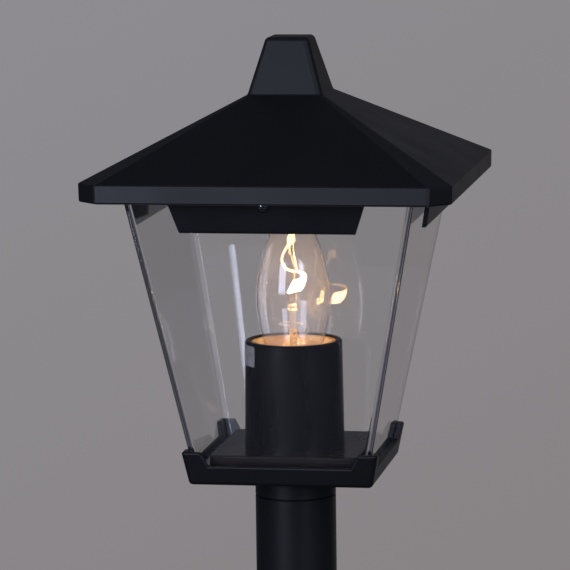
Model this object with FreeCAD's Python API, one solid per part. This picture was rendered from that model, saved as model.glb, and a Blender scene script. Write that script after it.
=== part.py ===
"""Garden post lamp: a clear tapered lantern under a hipped cast roof, carried by a round post.

Millimetres, +Z up. The origin is the middle of the base's underside and the front faces -Y.
"""
import FreeCAD
import Part
import math
import os

V = FreeCAD.Vector
UP = V(0, 0, 1)
ORIGIN = V(0, 0, 0)

# Clearances
SLIP_FIT = 0.15
SEAT_GAP = 0.2
RUNNING_GAP = 0.4
THREAD_GAP = 0.1

# Base and post
BASE_DIAMETER = 150.0
BASE_THICKNESS = 5.0
BASE_EDGE = 2.0
BASE_BOLT_CIRCLE = 118.0
BASE_BOLT_HOLE = 7.0
BASE_BOLT_COUNT = 3
CABLE_HOLE = 20.0
COLLAR_HEIGHT = 40.0
COLLAR_WALL = 5.0
COLLAR_ROOT = 9.0
COLLAR_EDGE = 1.5
POST_DIAMETER = 38.0
POST_WALL = 2.0
POST_LENGTH = 580.0
SET_SCREW_DIAMETER = 5.0
SET_SCREW_KEY = 2.5
SET_SCREW_DROP = 12.0
SET_SCREW_COUNT = 3
SET_SCREW_RECESS = 0.6

# Tray, the cast cup with four eared corners that carries the lantern
NECK_HEIGHT = 11.4
JOINT_BEVEL = 0.5
SPIGOT_LENGTH = 30.0
SPIGOT_WALL = 2.6
HEAD_SCREW_DIAMETER = 4.0
HEAD_SCREW_DROP = 15.0
HEAD_SCREW_ANGLES = (45.0, 135.0)
TRAY_FLOOR = 3.5
TRAY_WALL = 2.5
TRAY_CORNER = 2.4
TRAY_FOOT_EDGE = 2.1
TRAY_EDGE = 0.9
RIM_HEIGHT = 9.25
EAR_HEIGHT = 15.7
EAR_LENGTH = 9.0
EAR_RUN = 3.6

# Clear shade with an inward foot, on a flat seal
SEAL_THICKNESS = 1.0
SHADE_FOOT_WIDTH = 81.6
SHADE_TOP_WIDTH = 138.0
SHADE_HEIGHT = 143.0
SHADE_WALL = 1.5
SHADE_FOOT_THICKNESS = 2.4
SHADE_CORNER = 0.7
SHADE_INNER_CORNER = 0.6
SHADE_FLANGE = 9.9

# Platform that clamps the shade's foot and carries the lampholder
PLATFORM_WIDTH = 69.4
PLATFORM_HEIGHT = 5.8
PLATFORM_WALL = 2.0
PLATFORM_CORNER = 3.0
PLATFORM_EDGE = 0.9

# Hollow threaded tube that clamps the stack, with its washer and nut
NIPPLE_DIAMETER = 10.0
NIPPLE_BORE = 7.8
NIPPLE_TAIL = 2.0
WASHER_DIAMETER = 16.0
WASHER_THICKNESS = 1.2
NUT_FLATS = 14.0
NUT_HEIGHT = 5.0

# Lampholder: black sleeve, ceramic body, contacts
SLEEVE_FOOT_DIAMETER = 46.9
SLEEVE_TOP_DIAMETER = 45.6
SLEEVE_HEIGHT = 49.6
SLEEVE_WALL = 2.4
SLEEVE_EDGE = 0.7
BRACKET_THICKNESS = 2.0
HOLDER_FLOOR = 9.0
HOLDER_DROP = 0.8
HOLDER_LIP = 2.0
HOLDER_MOUTH_DEPTH = 10.0
HOLDER_GAP = 0.6
STRIP_THICKNESS = 0.8
STRIP_WIDTH = 6.0
STRIP_SPLIT = 1.6
SHELL_WALL = 0.5
SHELL_DEPTH = 24.0
CONTACT_RISE = 3.4
HOLDER_SCREW_DIAMETER = 3.0
HOLDER_SCREW_SPACING = 18.0

# Leads, terminal block and earth point inside the post's upper end
LEAD_DIAMETER = 2.2
LEAD_SPACING = 4.0
LEAD_BEND = 12.0
TERMINAL_PITCH = 8.0
TERMINAL_DEPTH = 11.0
TERMINAL_HEIGHT = 18.0
TERMINAL_DROP = 52.0
TERMINAL_WALL = 1.6
TERMINAL_SCREW = 3.4
EARTH_SCREW_DIAMETER = 3.0
EARTH_LUG_THICKNESS = 0.8
EARTH_BARREL_LENGTH = 6.0

# Cast roof with fascia, hips, chimney finial and four skirts
EAVE_OVERHANG = 16.0
FASCIA_HEIGHT = 8.5
FASCIA_DRAFT = 0.2
FASCIA_WALL = 3.0
ROOF_PITCH = 27.31
ROOF_WALL = 2.5
HIP_CHAMFER = 9.7
HIP_TOP_CHAMFER = 1.6
HIP_BLEND = 1.8
EAVE_EDGE = 0.7
FASCIA_EDGE = 1.0
CHIMNEY_FOOT_WIDTH = 35.3
CHIMNEY_TOP_WIDTH = 20.0
CHIMNEY_HEIGHT = 26.0
CHIMNEY_CORNER = 2.6
CHIMNEY_TOP_EDGE = 2.6
CHIMNEY_FLARE = 0.6
SKIRT_DROP = 14.7
SKIRT_LENGTH = 80.3
SKIRT_END_SLOPE = 0.344
SKIRT_THICKNESS = 2.2
SKIRT_EDGE = 1.2
SKIRT_GAP = 2.7
ROOF_SCREW_DIAMETER = 4.0
ROOF_SCREW_HEAD = 5.8
ROOF_SCREW_BELOW_EAVE = 2.1
ROOF_SCREW_SHIFT = 1.2
BOSS_DIAMETER = 9.0

# Candle bulb
BULB_DIAMETER = 35.0
BULB_WIDEST_HEIGHT = 26.0
BULB_UPPER_LENGTH = 45.0
BULB_TIP_ROUND = 7.0
BULB_SHOULDER = 16.0
BULB_GLASS = 0.8
BULB_NECK_DEPTH = 10.0
CAP_DIAMETER = 26.2
CAP_HEIGHT = 23.5
CAP_WALL = 0.4
INSULATOR_HEIGHT = 3.5
BULB_CONTACT_DIAMETER = 9.6
BULB_CONTACT_HEIGHT = 1.5
STEM_DIAMETER = 3.2
STEM_BEAD = 5.6
STEM_BEAD_HEIGHT = 2.6
STEM_HEIGHT = 32.2
SUPPORT_DIAMETER = 0.7
FILAMENT_DIAMETER = 0.9

# Places on the filament as (x, height above the cap)
FILAMENT_TOP = (-0.6, 55.4)
FILAMENT_BOW = (-4.6, 43.6)
FILAMENT_BEND = (6.0, 36.0)
FILAMENT_APEX = (6.2, 31.4)
FILAMENT_FOOT = (-2.2, 27.6)

# Levels of the stack, from the base's underside up
post_radius = POST_DIAMETER / 2
bore_radius = post_radius - POST_WALL
post_top = BASE_THICKNESS + POST_LENGTH
tray_level = post_top + NECK_HEIGHT
floor_level = tray_level + TRAY_FLOOR
shade_level = floor_level + SEAL_THICKNESS
shade_top = shade_level + SHADE_HEIGHT
platform_foot = shade_level + SHADE_FOOT_THICKNESS
platform_level = platform_foot + PLATFORM_HEIGHT
bracket_top = platform_level + BRACKET_THICKNESS
socket_floor = bracket_top + HOLDER_FLOOR
sleeve_top = platform_level + SLEEVE_HEIGHT
holder_top = sleeve_top - HOLDER_DROP
strip_top = socket_floor + STRIP_THICKNESS
spigot_foot = post_top - SPIGOT_LENGTH
spigot_radius = bore_radius - SLIP_FIT
neck_bore = spigot_radius - SPIGOT_WALL
lead_radius = LEAD_DIAMETER / 2
lead_offset = LEAD_SPACING / 2
contact_top = strip_top + CONTACT_RISE
bulb_foot = contact_top + SEAT_GAP
cap_foot = bulb_foot + BULB_CONTACT_HEIGHT + INSULATOR_HEIGHT
cap_top = cap_foot + CAP_HEIGHT
terminal_top = post_top - TERMINAL_DROP
shade_taper = (SHADE_TOP_WIDTH - SHADE_FOOT_WIDTH) / 2 / SHADE_HEIGHT
wall_tilt = math.degrees(math.atan(shade_taper))
pitch = math.tan(math.radians(ROOF_PITCH))
roof_half = SHADE_TOP_WIDTH / 2 + EAVE_OVERHANG


def shade_half(z):
    """Half-width of the shade's outside at height z."""
    return SHADE_FOOT_WIDTH / 2 + shade_taper * (z - shade_level)


def tray_half(z):
    """Half-width of the tray's outside at height z, parallel to the shade."""
    return shade_half(z) + RUNNING_GAP + TRAY_WALL


def under_slope(half):
    """Height of the roof slope's underside above the fascia's foot, at a half-width."""
    return FASCIA_HEIGHT + (roof_half - half) * pitch - ROOF_WALL * math.sqrt(1 + pitch**2)


def under_hip(reach):
    """Height of a hip's underside above the fascia's foot, where x + y equals reach."""
    low = 2 * hollow_half - hollow_chamfer
    high = 2 * throat_half - throat_chamfer
    rise = under_slope(throat_half) - under_slope(hollow_half)
    return under_slope(hollow_half) + (low - reach) / (low - high) * rise


# The roof rests on the shade's four top corners
hollow_half = roof_half - FASCIA_WALL
hollow_chamfer = HIP_CHAMFER - FASCIA_WALL * (2 - math.sqrt(2))
throat_half = CHIMNEY_FOOT_WIDTH / 2 - ROOF_WALL
throat_chamfer = HIP_TOP_CHAMFER / 2
shade_corner_reach = SHADE_TOP_WIDTH - SHADE_CORNER * (2 - math.sqrt(2))
eave_level = shade_top + SEAT_GAP - min(under_slope(SHADE_TOP_WIDTH / 2), under_hip(shade_corner_reach))
fascia_top = eave_level + FASCIA_HEIGHT
chimney_level = fascia_top + (roof_half - CHIMNEY_FOOT_WIDTH / 2) * pitch


def rounded_polygon(points, radius, z):
    """Closed wire through points (x, y) at height z, with each corner rounded by the same radius."""
    edges = []
    starts = []
    ends = []
    for i, (x, y) in enumerate(points):
        corner = V(x, y, z)
        before = (V(*points[i - 1], z) - corner).normalize()
        after = (V(*points[(i + 1) % len(points)], z) - corner).normalize()
        half_angle = before.getAngle(after) / 2
        run = radius / math.tan(half_angle)
        middle = (before + after).normalize()
        centre = corner + middle * (radius / math.sin(half_angle))
        starts.append(corner + before * run)
        ends.append(corner + after * run)
        edges.append(Part.Arc(starts[-1], centre - middle * radius, ends[-1]).toShape())
    path = []
    for i, arc in enumerate(edges):
        path.append(arc)
        path.append(Part.LineSegment(ends[i], starts[(i + 1) % len(points)]).toShape())
    return Part.Wire(path)


def square(half, corner, z):
    """Rounded square wire of a half-width at height z."""
    return rounded_polygon([(-half, -half), (half, -half), (half, half), (-half, half)], corner, z)


def hipped(half, chamfer, blend, z):
    """Square wire with chamfered corners, each of its eight corners rounded a little."""
    near = half - chamfer
    points = [(-near, -half), (near, -half), (half, -near), (half, near)]
    points += [(-x, -y) for x, y in points]
    return rounded_polygon(points, blend, z)


def loft(*wires):
    """Solid with straight sides between wires."""
    return Part.makeLoft(list(wires), True, True)


def cylinder(radius, z, top):
    """Upright cylinder on the axis."""
    return Part.makeCylinder(radius, top - z, V(0, 0, z))


def tube(outer, inner, z, top):
    """Upright tube on the axis."""
    return cylinder(outer, z, top).cut(cylinder(inner, z, top))


def revolve(edges):
    """Solid of revolution about the axis from connected edges in the XZ plane."""
    return Part.Face(Part.Wire(edges)).revolve(ORIGIN, UP, 360)


def lines(*points):
    """Edges of the open outline through points (radius, height)."""
    at = [V(x, 0, z) for x, z in points]
    return [Part.LineSegment(a, b).toShape() for a, b in zip(at, at[1:])]


def quarter(start, corner, end):
    """Quarter-round edge from start to end whose sides meet at corner, all as (radius, height)."""
    a = V(start[0], 0, start[1])
    b = V(end[0], 0, end[1])
    square_corner = V(corner[0], 0, corner[1])
    centre = a + b - square_corner
    middle = centre + (square_corner - centre).normalize() * (a - centre).Length
    return Part.Arc(a, middle, b).toShape()


def turned(shape, degrees):
    """Copy turned about the axis."""
    copy = shape.copy()
    copy.rotate(ORIGIN, UP, degrees)
    return copy


def around(shape, angles):
    """One group of copies turned about the axis by each angle."""
    return Part.makeCompound([turned(shape, a) for a in angles])


def outward(shape, degrees, z):
    """Copy of a shape built along +Z, laid along the radius at an angle and height."""
    copy = shape.copy()
    copy.rotate(ORIGIN, V(0, 1, 0), 90)
    copy.rotate(ORIGIN, UP, degrees)
    copy.translate(V(0, 0, z))
    return copy


def edges_at(shape, z, smallest):
    """Edges that lie wholly at height z, with every point at least a distance from the axis."""
    found = []
    for edge in shape.Edges:
        points = edge.discretize(3)
        level = all(abs(p.z - z) < 1e-4 for p in points)
        outside = all(max(abs(p.x), abs(p.y)) > smallest for p in points)
        if level and outside:
            found.append(edge)
    return found


def wall_frame(shape, side, along, z, offset):
    """Copy of a shape built along +Z, set square to one lantern wall.

    Its origin goes to the point at height z, shifted along the wall and standing offset outside the shade.
    """
    copy = shape.copy()
    copy.rotate(ORIGIN, V(1, 0, 0), 90 + wall_tilt)
    copy.translate(V(along, -shade_half(z), z) + wall_normal() * offset)
    return turned(copy, 90 * side)


def wall_normal():
    """Outward normal of the front wall."""
    return V(0, -1, -shade_taper).normalize()


def spaced(count, start):
    """Angles of a circular pattern."""
    return [start + 360 / count * i for i in range(count)]


def lead(points):
    """Round insulated lead through points, straight runs joined by tangent arcs."""
    at = [V(*p) for p in points]
    edges = []
    start = at[0]
    for before, corner, after in zip(at, at[1:], at[2:]):
        back = (before - corner).normalize()
        on = (after - corner).normalize()
        half_angle = back.getAngle(on) / 2
        run = LEAD_BEND / math.tan(half_angle)
        middle = (back + on).normalize()
        centre = corner + middle * (LEAD_BEND / math.sin(half_angle))
        first = corner + back * run
        last = corner + on * run
        edges.append(Part.LineSegment(start, first).toShape())
        edges.append(Part.Arc(first, centre - middle * LEAD_BEND, last).toShape())
        start = last
    edges.append(Part.LineSegment(start, at[-1]).toShape())
    profile = Part.Wire(Part.makeCircle(lead_radius, at[0], at[1] - at[0]))
    return Part.Wire(edges).makePipeShell([profile], True, False)


def hexagon(flats, height):
    """Hexagonal prism on the axis, from z = 0."""
    corner = flats / 2 / math.cos(math.radians(30))
    points = [V(corner * math.cos(math.radians(a)), corner * math.sin(math.radians(a)), 0) for a in spaced(6, 0)]
    return Part.Face(Part.makePolygon(points + points[:1])).extrude(V(0, 0, height))


def pan_screw(diameter, head, length):
    """Pan-head screw along +Z: the head's underside is at z = 0 and the shank goes down."""
    rise = head * 0.4
    crown = Part.makeCylinder(head / 2, rise)
    crown = crown.makeFillet(rise * 0.7, [e for e in crown.Edges if abs(e.CenterOfMass.z - rise) < 1e-6])
    shank = Part.makeCylinder(diameter / 2, length, V(0, 0, -length))
    return crown.fuse(shank).removeSplitter()


def base_flange():
    """Round cast foot with a filleted collar for the post and three bolt holes."""
    rim = BASE_DIAMETER / 2
    socket = post_radius + SLIP_FIT
    collar = socket + COLLAR_WALL
    top = BASE_THICKNESS + COLLAR_HEIGHT
    thick = BASE_THICKNESS
    hole = CABLE_HOLE / 2
    edges = lines((hole, 0), (rim, 0), (rim, thick - BASE_EDGE))
    edges.append(quarter((rim, thick - BASE_EDGE), (rim, thick), (rim - BASE_EDGE, thick)))
    edges += lines((rim - BASE_EDGE, thick), (collar + COLLAR_ROOT, thick))
    edges.append(quarter((collar + COLLAR_ROOT, thick), (collar, thick), (collar, thick + COLLAR_ROOT)))
    edges += lines((collar, thick + COLLAR_ROOT), (collar, top - COLLAR_EDGE))
    edges.append(quarter((collar, top - COLLAR_EDGE), (collar, top), (collar - COLLAR_EDGE, top)))
    edges += lines((collar - COLLAR_EDGE, top), (socket, top), (socket, thick), (hole, thick), (hole, 0))
    body = revolve(edges)
    bolt = Part.makeCylinder(BASE_BOLT_HOLE / 2, thick, V(BASE_BOLT_CIRCLE / 2, 0, 0))
    body = body.cut(around(bolt, spaced(BASE_BOLT_COUNT, 90)))
    tapped = Part.makeCylinder(SET_SCREW_DIAMETER / 2 + THREAD_GAP, COLLAR_WALL * 2, V(0, 0, post_radius))
    height = top - SET_SCREW_DROP
    return body.cut(Part.makeCompound([outward(tapped, a, height) for a in spaced(SET_SCREW_COUNT, 30)]))


def base_set_screws():
    """Hex-socket set screws that clamp the post in the collar."""
    tip = post_radius + THREAD_GAP
    length = SLIP_FIT + COLLAR_WALL - THREAD_GAP - SET_SCREW_RECESS
    key = hexagon(SET_SCREW_KEY, length / 2)
    key.translate(V(0, 0, length / 2))
    screw = Part.makeCylinder(SET_SCREW_DIAMETER / 2, length).cut(key)
    screw.translate(V(0, 0, tip))
    height = BASE_THICKNESS + COLLAR_HEIGHT - SET_SCREW_DROP
    return Part.makeCompound([outward(screw, a, height) for a in spaced(SET_SCREW_COUNT, 30)])


def post_tube():
    """Plain round post with two clearance holes for the head's screws."""
    body = tube(post_radius, bore_radius, BASE_THICKNESS, post_top)
    body = body.makeChamfer(JOINT_BEVEL, edges_at(body, post_top, 0)[:1])
    hole = Part.makeCylinder(HEAD_SCREW_DIAMETER / 2 + SLIP_FIT, post_radius)
    return body.cut(Part.makeCompound([outward(hole, a, post_top - HEAD_SCREW_DROP) for a in HEAD_SCREW_ANGLES]))


def head_screws():
    """Two pan-head screws at the back that hold the tray's spigot in the post."""
    head = HEAD_SCREW_DIAMETER * 1.75
    sagitta = post_radius - math.sqrt(post_radius**2 - (HEAD_SCREW_DIAMETER / 2) ** 2)
    screw = pan_screw(HEAD_SCREW_DIAMETER, head, post_radius + THREAD_GAP - neck_bore - sagitta)
    screw.translate(V(0, 0, post_radius + THREAD_GAP))
    return Part.makeCompound([outward(screw, a, post_top - HEAD_SCREW_DROP) for a in HEAD_SCREW_ANGLES])


def tray():
    """Cast tray: tapered cup with four tall eared corners, on a round neck with a spigot."""
    ear_top = tray_level + EAR_HEIGHT
    outer = loft(square(tray_half(tray_level), TRAY_CORNER, tray_level), square(tray_half(ear_top), TRAY_CORNER, ear_top))
    outer = outer.makeFillet(TRAY_FOOT_EDGE, edges_at(outer, tray_level, 0))
    inner_corner = SHADE_CORNER + RUNNING_GAP
    inner = loft(
        square(tray_half(floor_level) - TRAY_WALL, inner_corner, floor_level),
        square(tray_half(ear_top) - TRAY_WALL, inner_corner, ear_top),
    )
    rim = tray_level + RIM_HEIGHT
    top_reach = tray_half(ear_top) - EAR_LENGTH
    reach = top_reach - EAR_RUN
    far = tray_half(ear_top) * 2
    notch = Part.Face(
        Part.makePolygon(
            [V(-reach, -far, rim), V(reach, -far, rim), V(top_reach, -far, ear_top)]
            + [V(-top_reach, -far, ear_top), V(-reach, -far, rim)]
        )
    ).extrude(V(0, far * 2, 0))
    cup = outer.cut([inner, notch, turned(notch, 90)])
    cup = cup.makeFillet(TRAY_EDGE, tray_rim_edges(cup))
    neck = cylinder(post_radius, post_top, tray_level + TRAY_FOOT_EDGE)
    neck = neck.makeChamfer(JOINT_BEVEL, edges_at(neck, post_top, 0))
    spigot = cylinder(spigot_radius, spigot_foot, post_top)
    body = cup.fuse([neck, spigot]).removeSplitter()
    body = body.cut([cylinder(neck_bore, spigot_foot, tray_level), nipple_hole(tray_level, floor_level), earth_hole()])
    tapped = Part.makeCylinder(HEAD_SCREW_DIAMETER / 2 + THREAD_GAP, post_radius)
    return body.cut(Part.makeCompound([outward(tapped, a, post_top - HEAD_SCREW_DROP) for a in HEAD_SCREW_ANGLES]))


def tray_rim_edges(cup):
    """Outer edges along the rim, the ears' tops and the slopes between them."""
    found = []
    for edge in cup.Edges:
        points = edge.discretize(3)
        high = all(p.z > tray_level + RIM_HEIGHT - SEAT_GAP for p in points)
        outside = all(max(abs(p.x), abs(p.y)) > tray_half(p.z) - TRAY_WALL / 2 for p in points)
        if high and outside:
            found.append(edge)
    return found


def nipple_hole(z, top):
    """Clearance hole for the threaded tube."""
    return cylinder(NIPPLE_DIAMETER / 2 + SLIP_FIT, z, top)


def earth_point():
    """Distance of the earth screw from the axis, clear of the washer and inside the neck."""
    return (WASHER_DIAMETER / 2 + neck_bore) / 2


def earth_hole():
    """Tapped hole for the earth screw, up into the tray's floor."""
    place = V(0, earth_point(), tray_level)
    return Part.makeCylinder(EARTH_SCREW_DIAMETER / 2 + THREAD_GAP, TRAY_FLOOR, place)


def shade():
    """Clear moulded shade: four tapered walls, an inward foot and holes for the roof's screws."""
    outer = loft(
        square(shade_half(shade_level), SHADE_CORNER, shade_level),
        square(shade_half(shade_top), SHADE_CORNER, shade_top),
    )
    inner = loft(
        square(shade_half(platform_foot) - SHADE_WALL, SHADE_INNER_CORNER, platform_foot),
        square(shade_half(shade_top) - SHADE_WALL, SHADE_INNER_CORNER, shade_top),
    )
    window_half = shade_half(shade_level) - SHADE_WALL - SHADE_FLANGE
    window = loft(square(window_half, SHADE_INNER_CORNER, shade_level), square(window_half, SHADE_INNER_CORNER, platform_foot))
    body = outer.cut([inner, window])
    hole = Part.makeCylinder(ROOF_SCREW_DIAMETER / 2 + SLIP_FIT, SHADE_WALL * 3, V(0, 0, -SHADE_WALL * 1.5))
    return body.cut(Part.makeCompound([wall_frame(hole, side, -ROOF_SCREW_SHIFT, roof_screw_level(), 0) for side in range(4)]))


def shade_seal():
    """Flat square seal between the tray's floor and the shade's foot."""
    half = shade_half(shade_level) - SHADE_CORNER
    window_half = shade_half(shade_level) - SHADE_WALL - SHADE_FLANGE
    return loft(square(half, SHADE_CORNER, floor_level), square(half, SHADE_CORNER, shade_level)).cut(
        loft(square(window_half, SHADE_INNER_CORNER, floor_level), square(window_half, SHADE_INNER_CORNER, shade_level))
    )


def platform():
    """Square cap that clamps the shade's foot, with a hole for the threaded tube."""
    half = PLATFORM_WIDTH / 2
    body = loft(square(half, PLATFORM_CORNER, platform_foot), square(half, PLATFORM_CORNER, platform_level))
    body = body.makeFillet(PLATFORM_EDGE, edges_at(body, platform_level, 0))
    room = half - PLATFORM_WALL
    room_top = platform_level - PLATFORM_WALL
    corner = PLATFORM_CORNER - PLATFORM_WALL / 2
    hollow = loft(square(room, corner, platform_foot), square(room, corner, room_top))
    return body.cut([hollow, nipple_hole(platform_foot, platform_level)])


def nipple():
    """Hollow threaded tube through the platform and the tray's floor."""
    foot = tray_level - WASHER_THICKNESS - NUT_HEIGHT - NIPPLE_TAIL
    return tube(NIPPLE_DIAMETER / 2, NIPPLE_BORE / 2, foot, bracket_top)


def nipple_washer():
    """Flat washer under the tray's floor."""
    return tube(WASHER_DIAMETER / 2, NIPPLE_DIAMETER / 2 + THREAD_GAP, tray_level - WASHER_THICKNESS, tray_level)


def nipple_nut():
    """Hexagon nut that pulls the stack together."""
    body = hexagon(NUT_FLATS, NUT_HEIGHT)
    body.translate(V(0, 0, tray_level - WASHER_THICKNESS - NUT_HEIGHT))
    return body.cut(cylinder(NIPPLE_DIAMETER / 2 + THREAD_GAP, tray_level - WASHER_THICKNESS - NUT_HEIGHT, tray_level))


def sleeve_radius(z):
    """Outer radius of the lampholder's sleeve at height z."""
    share = (z - platform_level) / SLEEVE_HEIGHT
    return (SLEEVE_FOOT_DIAMETER + (SLEEVE_TOP_DIAMETER - SLEEVE_FOOT_DIAMETER) * share) / 2


def lamp_sleeve():
    """Slightly conical black sleeve that stands round the lampholder."""
    foot = sleeve_radius(platform_level)
    top = sleeve_radius(sleeve_top)
    edge = sleeve_top - SLEEVE_EDGE
    edges = lines((foot - SLEEVE_WALL, platform_level), (foot, platform_level), (sleeve_radius(edge), edge))
    edges += lines((sleeve_radius(edge), edge), (top - SLEEVE_EDGE, sleeve_top))
    edges += lines((top - SLEEVE_EDGE, sleeve_top), (top - SLEEVE_WALL, sleeve_top), (foot - SLEEVE_WALL, platform_level))
    return revolve(edges)


def holder_radius():
    """Outer radius of the ceramic body, inside the sleeve's narrow top."""
    return sleeve_radius(sleeve_top) - SLEEVE_WALL - HOLDER_GAP


def shell_radius():
    """Outer radius of the lampholder's screw shell."""
    return CAP_DIAMETER / 2 + RUNNING_GAP + SHELL_WALL


def holder_screw_holes(radius, z, top):
    """Pair of upright cylinders at the holder screws' places."""
    at = HOLDER_SCREW_SPACING / 2
    return [Part.makeCylinder(radius, top - z, V(0, y, z)) for y in (-at, at)]


def lead_holes(z, top):
    """Pair of upright holes for the live and neutral leads."""
    return [Part.makeCylinder(lead_radius + SLIP_FIT, top - z, V(x, 0, z)) for x in (-lead_offset, lead_offset)]


def holder_bracket():
    """Round steel plate on the threaded tube that the ceramic body is screwed to."""
    body = tube(holder_radius(), NIPPLE_DIAMETER / 2 + THREAD_GAP, platform_level, bracket_top)
    return body.cut(holder_screw_holes(HOLDER_SCREW_DIAMETER / 2 + THREAD_GAP, platform_level, bracket_top))


def lampholder_body():
    """Ceramic body with a wide mouth, a socket for the shell and holes for screws and leads."""
    outside = holder_radius()
    mouth = outside - HOLDER_LIP
    socket = shell_radius() + THREAD_GAP
    shelf = holder_top - HOLDER_MOUTH_DEPTH
    edges = lines((0, bracket_top), (outside, bracket_top), (outside, holder_top), (mouth, holder_top))
    edges += lines((mouth, holder_top), (mouth, shelf), (socket, shelf), (socket, socket_floor), (0, socket_floor))
    edges += lines((0, socket_floor), (0, bracket_top))
    body = revolve(edges)
    cuts = holder_screw_holes(HOLDER_SCREW_DIAMETER / 2 + SLIP_FIT, bracket_top, socket_floor)
    return body.cut(cuts + lead_holes(bracket_top, socket_floor))


def holder_screws():
    """Two screws through the ceramic body's floor into the bracket."""
    screw = pan_screw(HOLDER_SCREW_DIAMETER, HOLDER_SCREW_DIAMETER * 1.8, HOLDER_FLOOR + BRACKET_THICKNESS)
    screws = []
    for y in (-HOLDER_SCREW_SPACING / 2, HOLDER_SCREW_SPACING / 2):
        copy = screw.copy()
        copy.translate(V(0, y, socket_floor))
        screws.append(copy)
    return Part.makeCompound(screws)


def neutral_strip():
    """Flat strip from the neutral lead to the shell's foot."""
    end = math.sqrt(shell_radius() ** 2 - (STRIP_WIDTH / 2) ** 2)
    length = end - STRIP_SPLIT / 2
    return Part.makeBox(length, STRIP_WIDTH, STRIP_THICKNESS, V(-end, -STRIP_WIDTH / 2, socket_floor))


def lampholder_shell():
    """Thin screw shell that takes the bulb's cap, standing on the neutral strip."""
    return tube(shell_radius(), shell_radius() - SHELL_WALL, strip_top, strip_top + SHELL_DEPTH)


def centre_contact():
    """Bent spring strip: a foot on the live lead, a bend and an arm under the bulb's contact."""
    inside = shell_radius() - SHELL_WALL - RUNNING_GAP
    t = STRIP_THICKNESS
    start = STRIP_SPLIT / 2
    arm_end = -BULB_CONTACT_DIAMETER / 4
    outline = [(start, socket_floor), (inside, socket_floor), (inside, contact_top), (arm_end, contact_top)]
    outline += [(arm_end, contact_top - t), (inside - t, contact_top - t), (inside - t, strip_top), (start, strip_top)]
    points = [V(x, -STRIP_WIDTH / 2, z) for x, z in outline + outline[:1]]
    return Part.Face(Part.makePolygon(points)).extrude(V(0, STRIP_WIDTH, 0))


def power_lead(sign):
    """Live or neutral lead, from its strip down through the threaded tube to the terminal block."""
    nipple_foot = tray_level - WASHER_THICKNESS - NUT_HEIGHT - NIPPLE_TAIL
    near = sign * lead_offset
    far = sign * TERMINAL_PITCH
    spread = nipple_foot - LEAD_BEND / 2
    gather = terminal_top + LEAD_BEND / 2
    return lead([(near, 0, socket_floor), (near, 0, spread), (far, 0, gather), (far, 0, terminal_top - TERMINAL_HEIGHT / 2)])


def earth_lead():
    """Earth lead from the lug's barrel to the terminal block's middle way."""
    x, y, z = earth_barrel_foot()
    gather = terminal_top + LEAD_BEND / 2
    return lead([(x, y, z), (x, y, z - LEAD_BEND / 2), (0, 0, gather), (0, 0, terminal_top - TERMINAL_HEIGHT / 2)])


def earth_barrel_foot():
    """Point where the earth lead leaves its lug."""
    beside = EARTH_SCREW_DIAMETER * 1.6
    return beside, earth_point() - lead_radius, tray_level - EARTH_LUG_THICKNESS - EARTH_BARREL_LENGTH


def earth_screw():
    """Screw that holds the earth lug under the tray's floor."""
    screw = pan_screw(EARTH_SCREW_DIAMETER, EARTH_SCREW_DIAMETER * 1.7, TRAY_FLOOR)
    screw.rotate(ORIGIN, V(1, 0, 0), 180)
    screw.translate(V(0, earth_point(), tray_level - EARTH_LUG_THICKNESS))
    return screw


def earth_lug():
    """Ring lug with a turned-down crimp barrel."""
    x, y, z = earth_barrel_foot()
    top = tray_level - EARTH_LUG_THICKNESS
    ring = Part.makeCylinder(EARTH_SCREW_DIAMETER * 0.85, EARTH_LUG_THICKNESS, V(0, earth_point(), top))
    tongue = Part.makeBox(x, lead_radius * 2, EARTH_LUG_THICKNESS, V(0, y - lead_radius, top))
    barrel = Part.makeCylinder(lead_radius * 1.2, tray_level - z, V(x, y, z))
    hole = Part.makeCylinder(EARTH_SCREW_DIAMETER / 2 + THREAD_GAP, EARTH_LUG_THICKNESS, V(0, earth_point(), top))
    return ring.fuse([tongue, barrel]).cut(hole).removeSplitter()


def terminal_ways():
    """Places of the terminal block's three ways along X."""
    return (-TERMINAL_PITCH, 0, TERMINAL_PITCH)


def terminal_block():
    """Three-way terminal block that hangs on the leads inside the post."""
    radius = TERMINAL_PITCH / 2 - SEAT_GAP
    foot = terminal_top - TERMINAL_HEIGHT
    depth = TERMINAL_DEPTH / 2
    spine = Part.makeBox(TERMINAL_PITCH * 2, TERMINAL_DEPTH / 2, TERMINAL_HEIGHT, V(-TERMINAL_PITCH, -depth / 2, foot))
    ways = [Part.makeCylinder(radius, TERMINAL_HEIGHT, V(x, 0, foot)) for x in terminal_ways()]
    towers = [
        Part.makeBox(radius * 2, depth, TERMINAL_HEIGHT - TERMINAL_WALL * 2, V(x - radius, -depth, foot + TERMINAL_WALL))
        for x in terminal_ways()
    ]
    body = spine.fuse(ways + towers).removeSplitter()
    bores = [Part.makeCylinder(lead_radius + SLIP_FIT, TERMINAL_HEIGHT, V(x, 0, foot)) for x in terminal_ways()]
    middle = (foot + terminal_top) / 2 + TERMINAL_HEIGHT / 4
    wells = [
        Part.makeCylinder(TERMINAL_SCREW / 2 + THREAD_GAP, depth, V(x, 0, middle), V(0, -1, 0)) for x in terminal_ways()
    ]
    return body.cut(bores + wells)


def terminal_screws():
    """Three clamp screws in the terminal block."""
    middle = terminal_top - TERMINAL_HEIGHT / 4
    start = lead_radius + THREAD_GAP
    length = TERMINAL_DEPTH / 2 - start - TERMINAL_WALL
    return Part.makeCompound(
        [Part.makeCylinder(TERMINAL_SCREW / 2, length, V(x, -start, middle), V(0, -1, 0)) for x in terminal_ways()]
    )


def roof_screw_level():
    """Height of the roof screws where they cross the shade's outside."""
    return eave_level - ROOF_SCREW_BELOW_EAVE + (SKIRT_GAP + SKIRT_THICKNESS) * shade_taper


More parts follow.
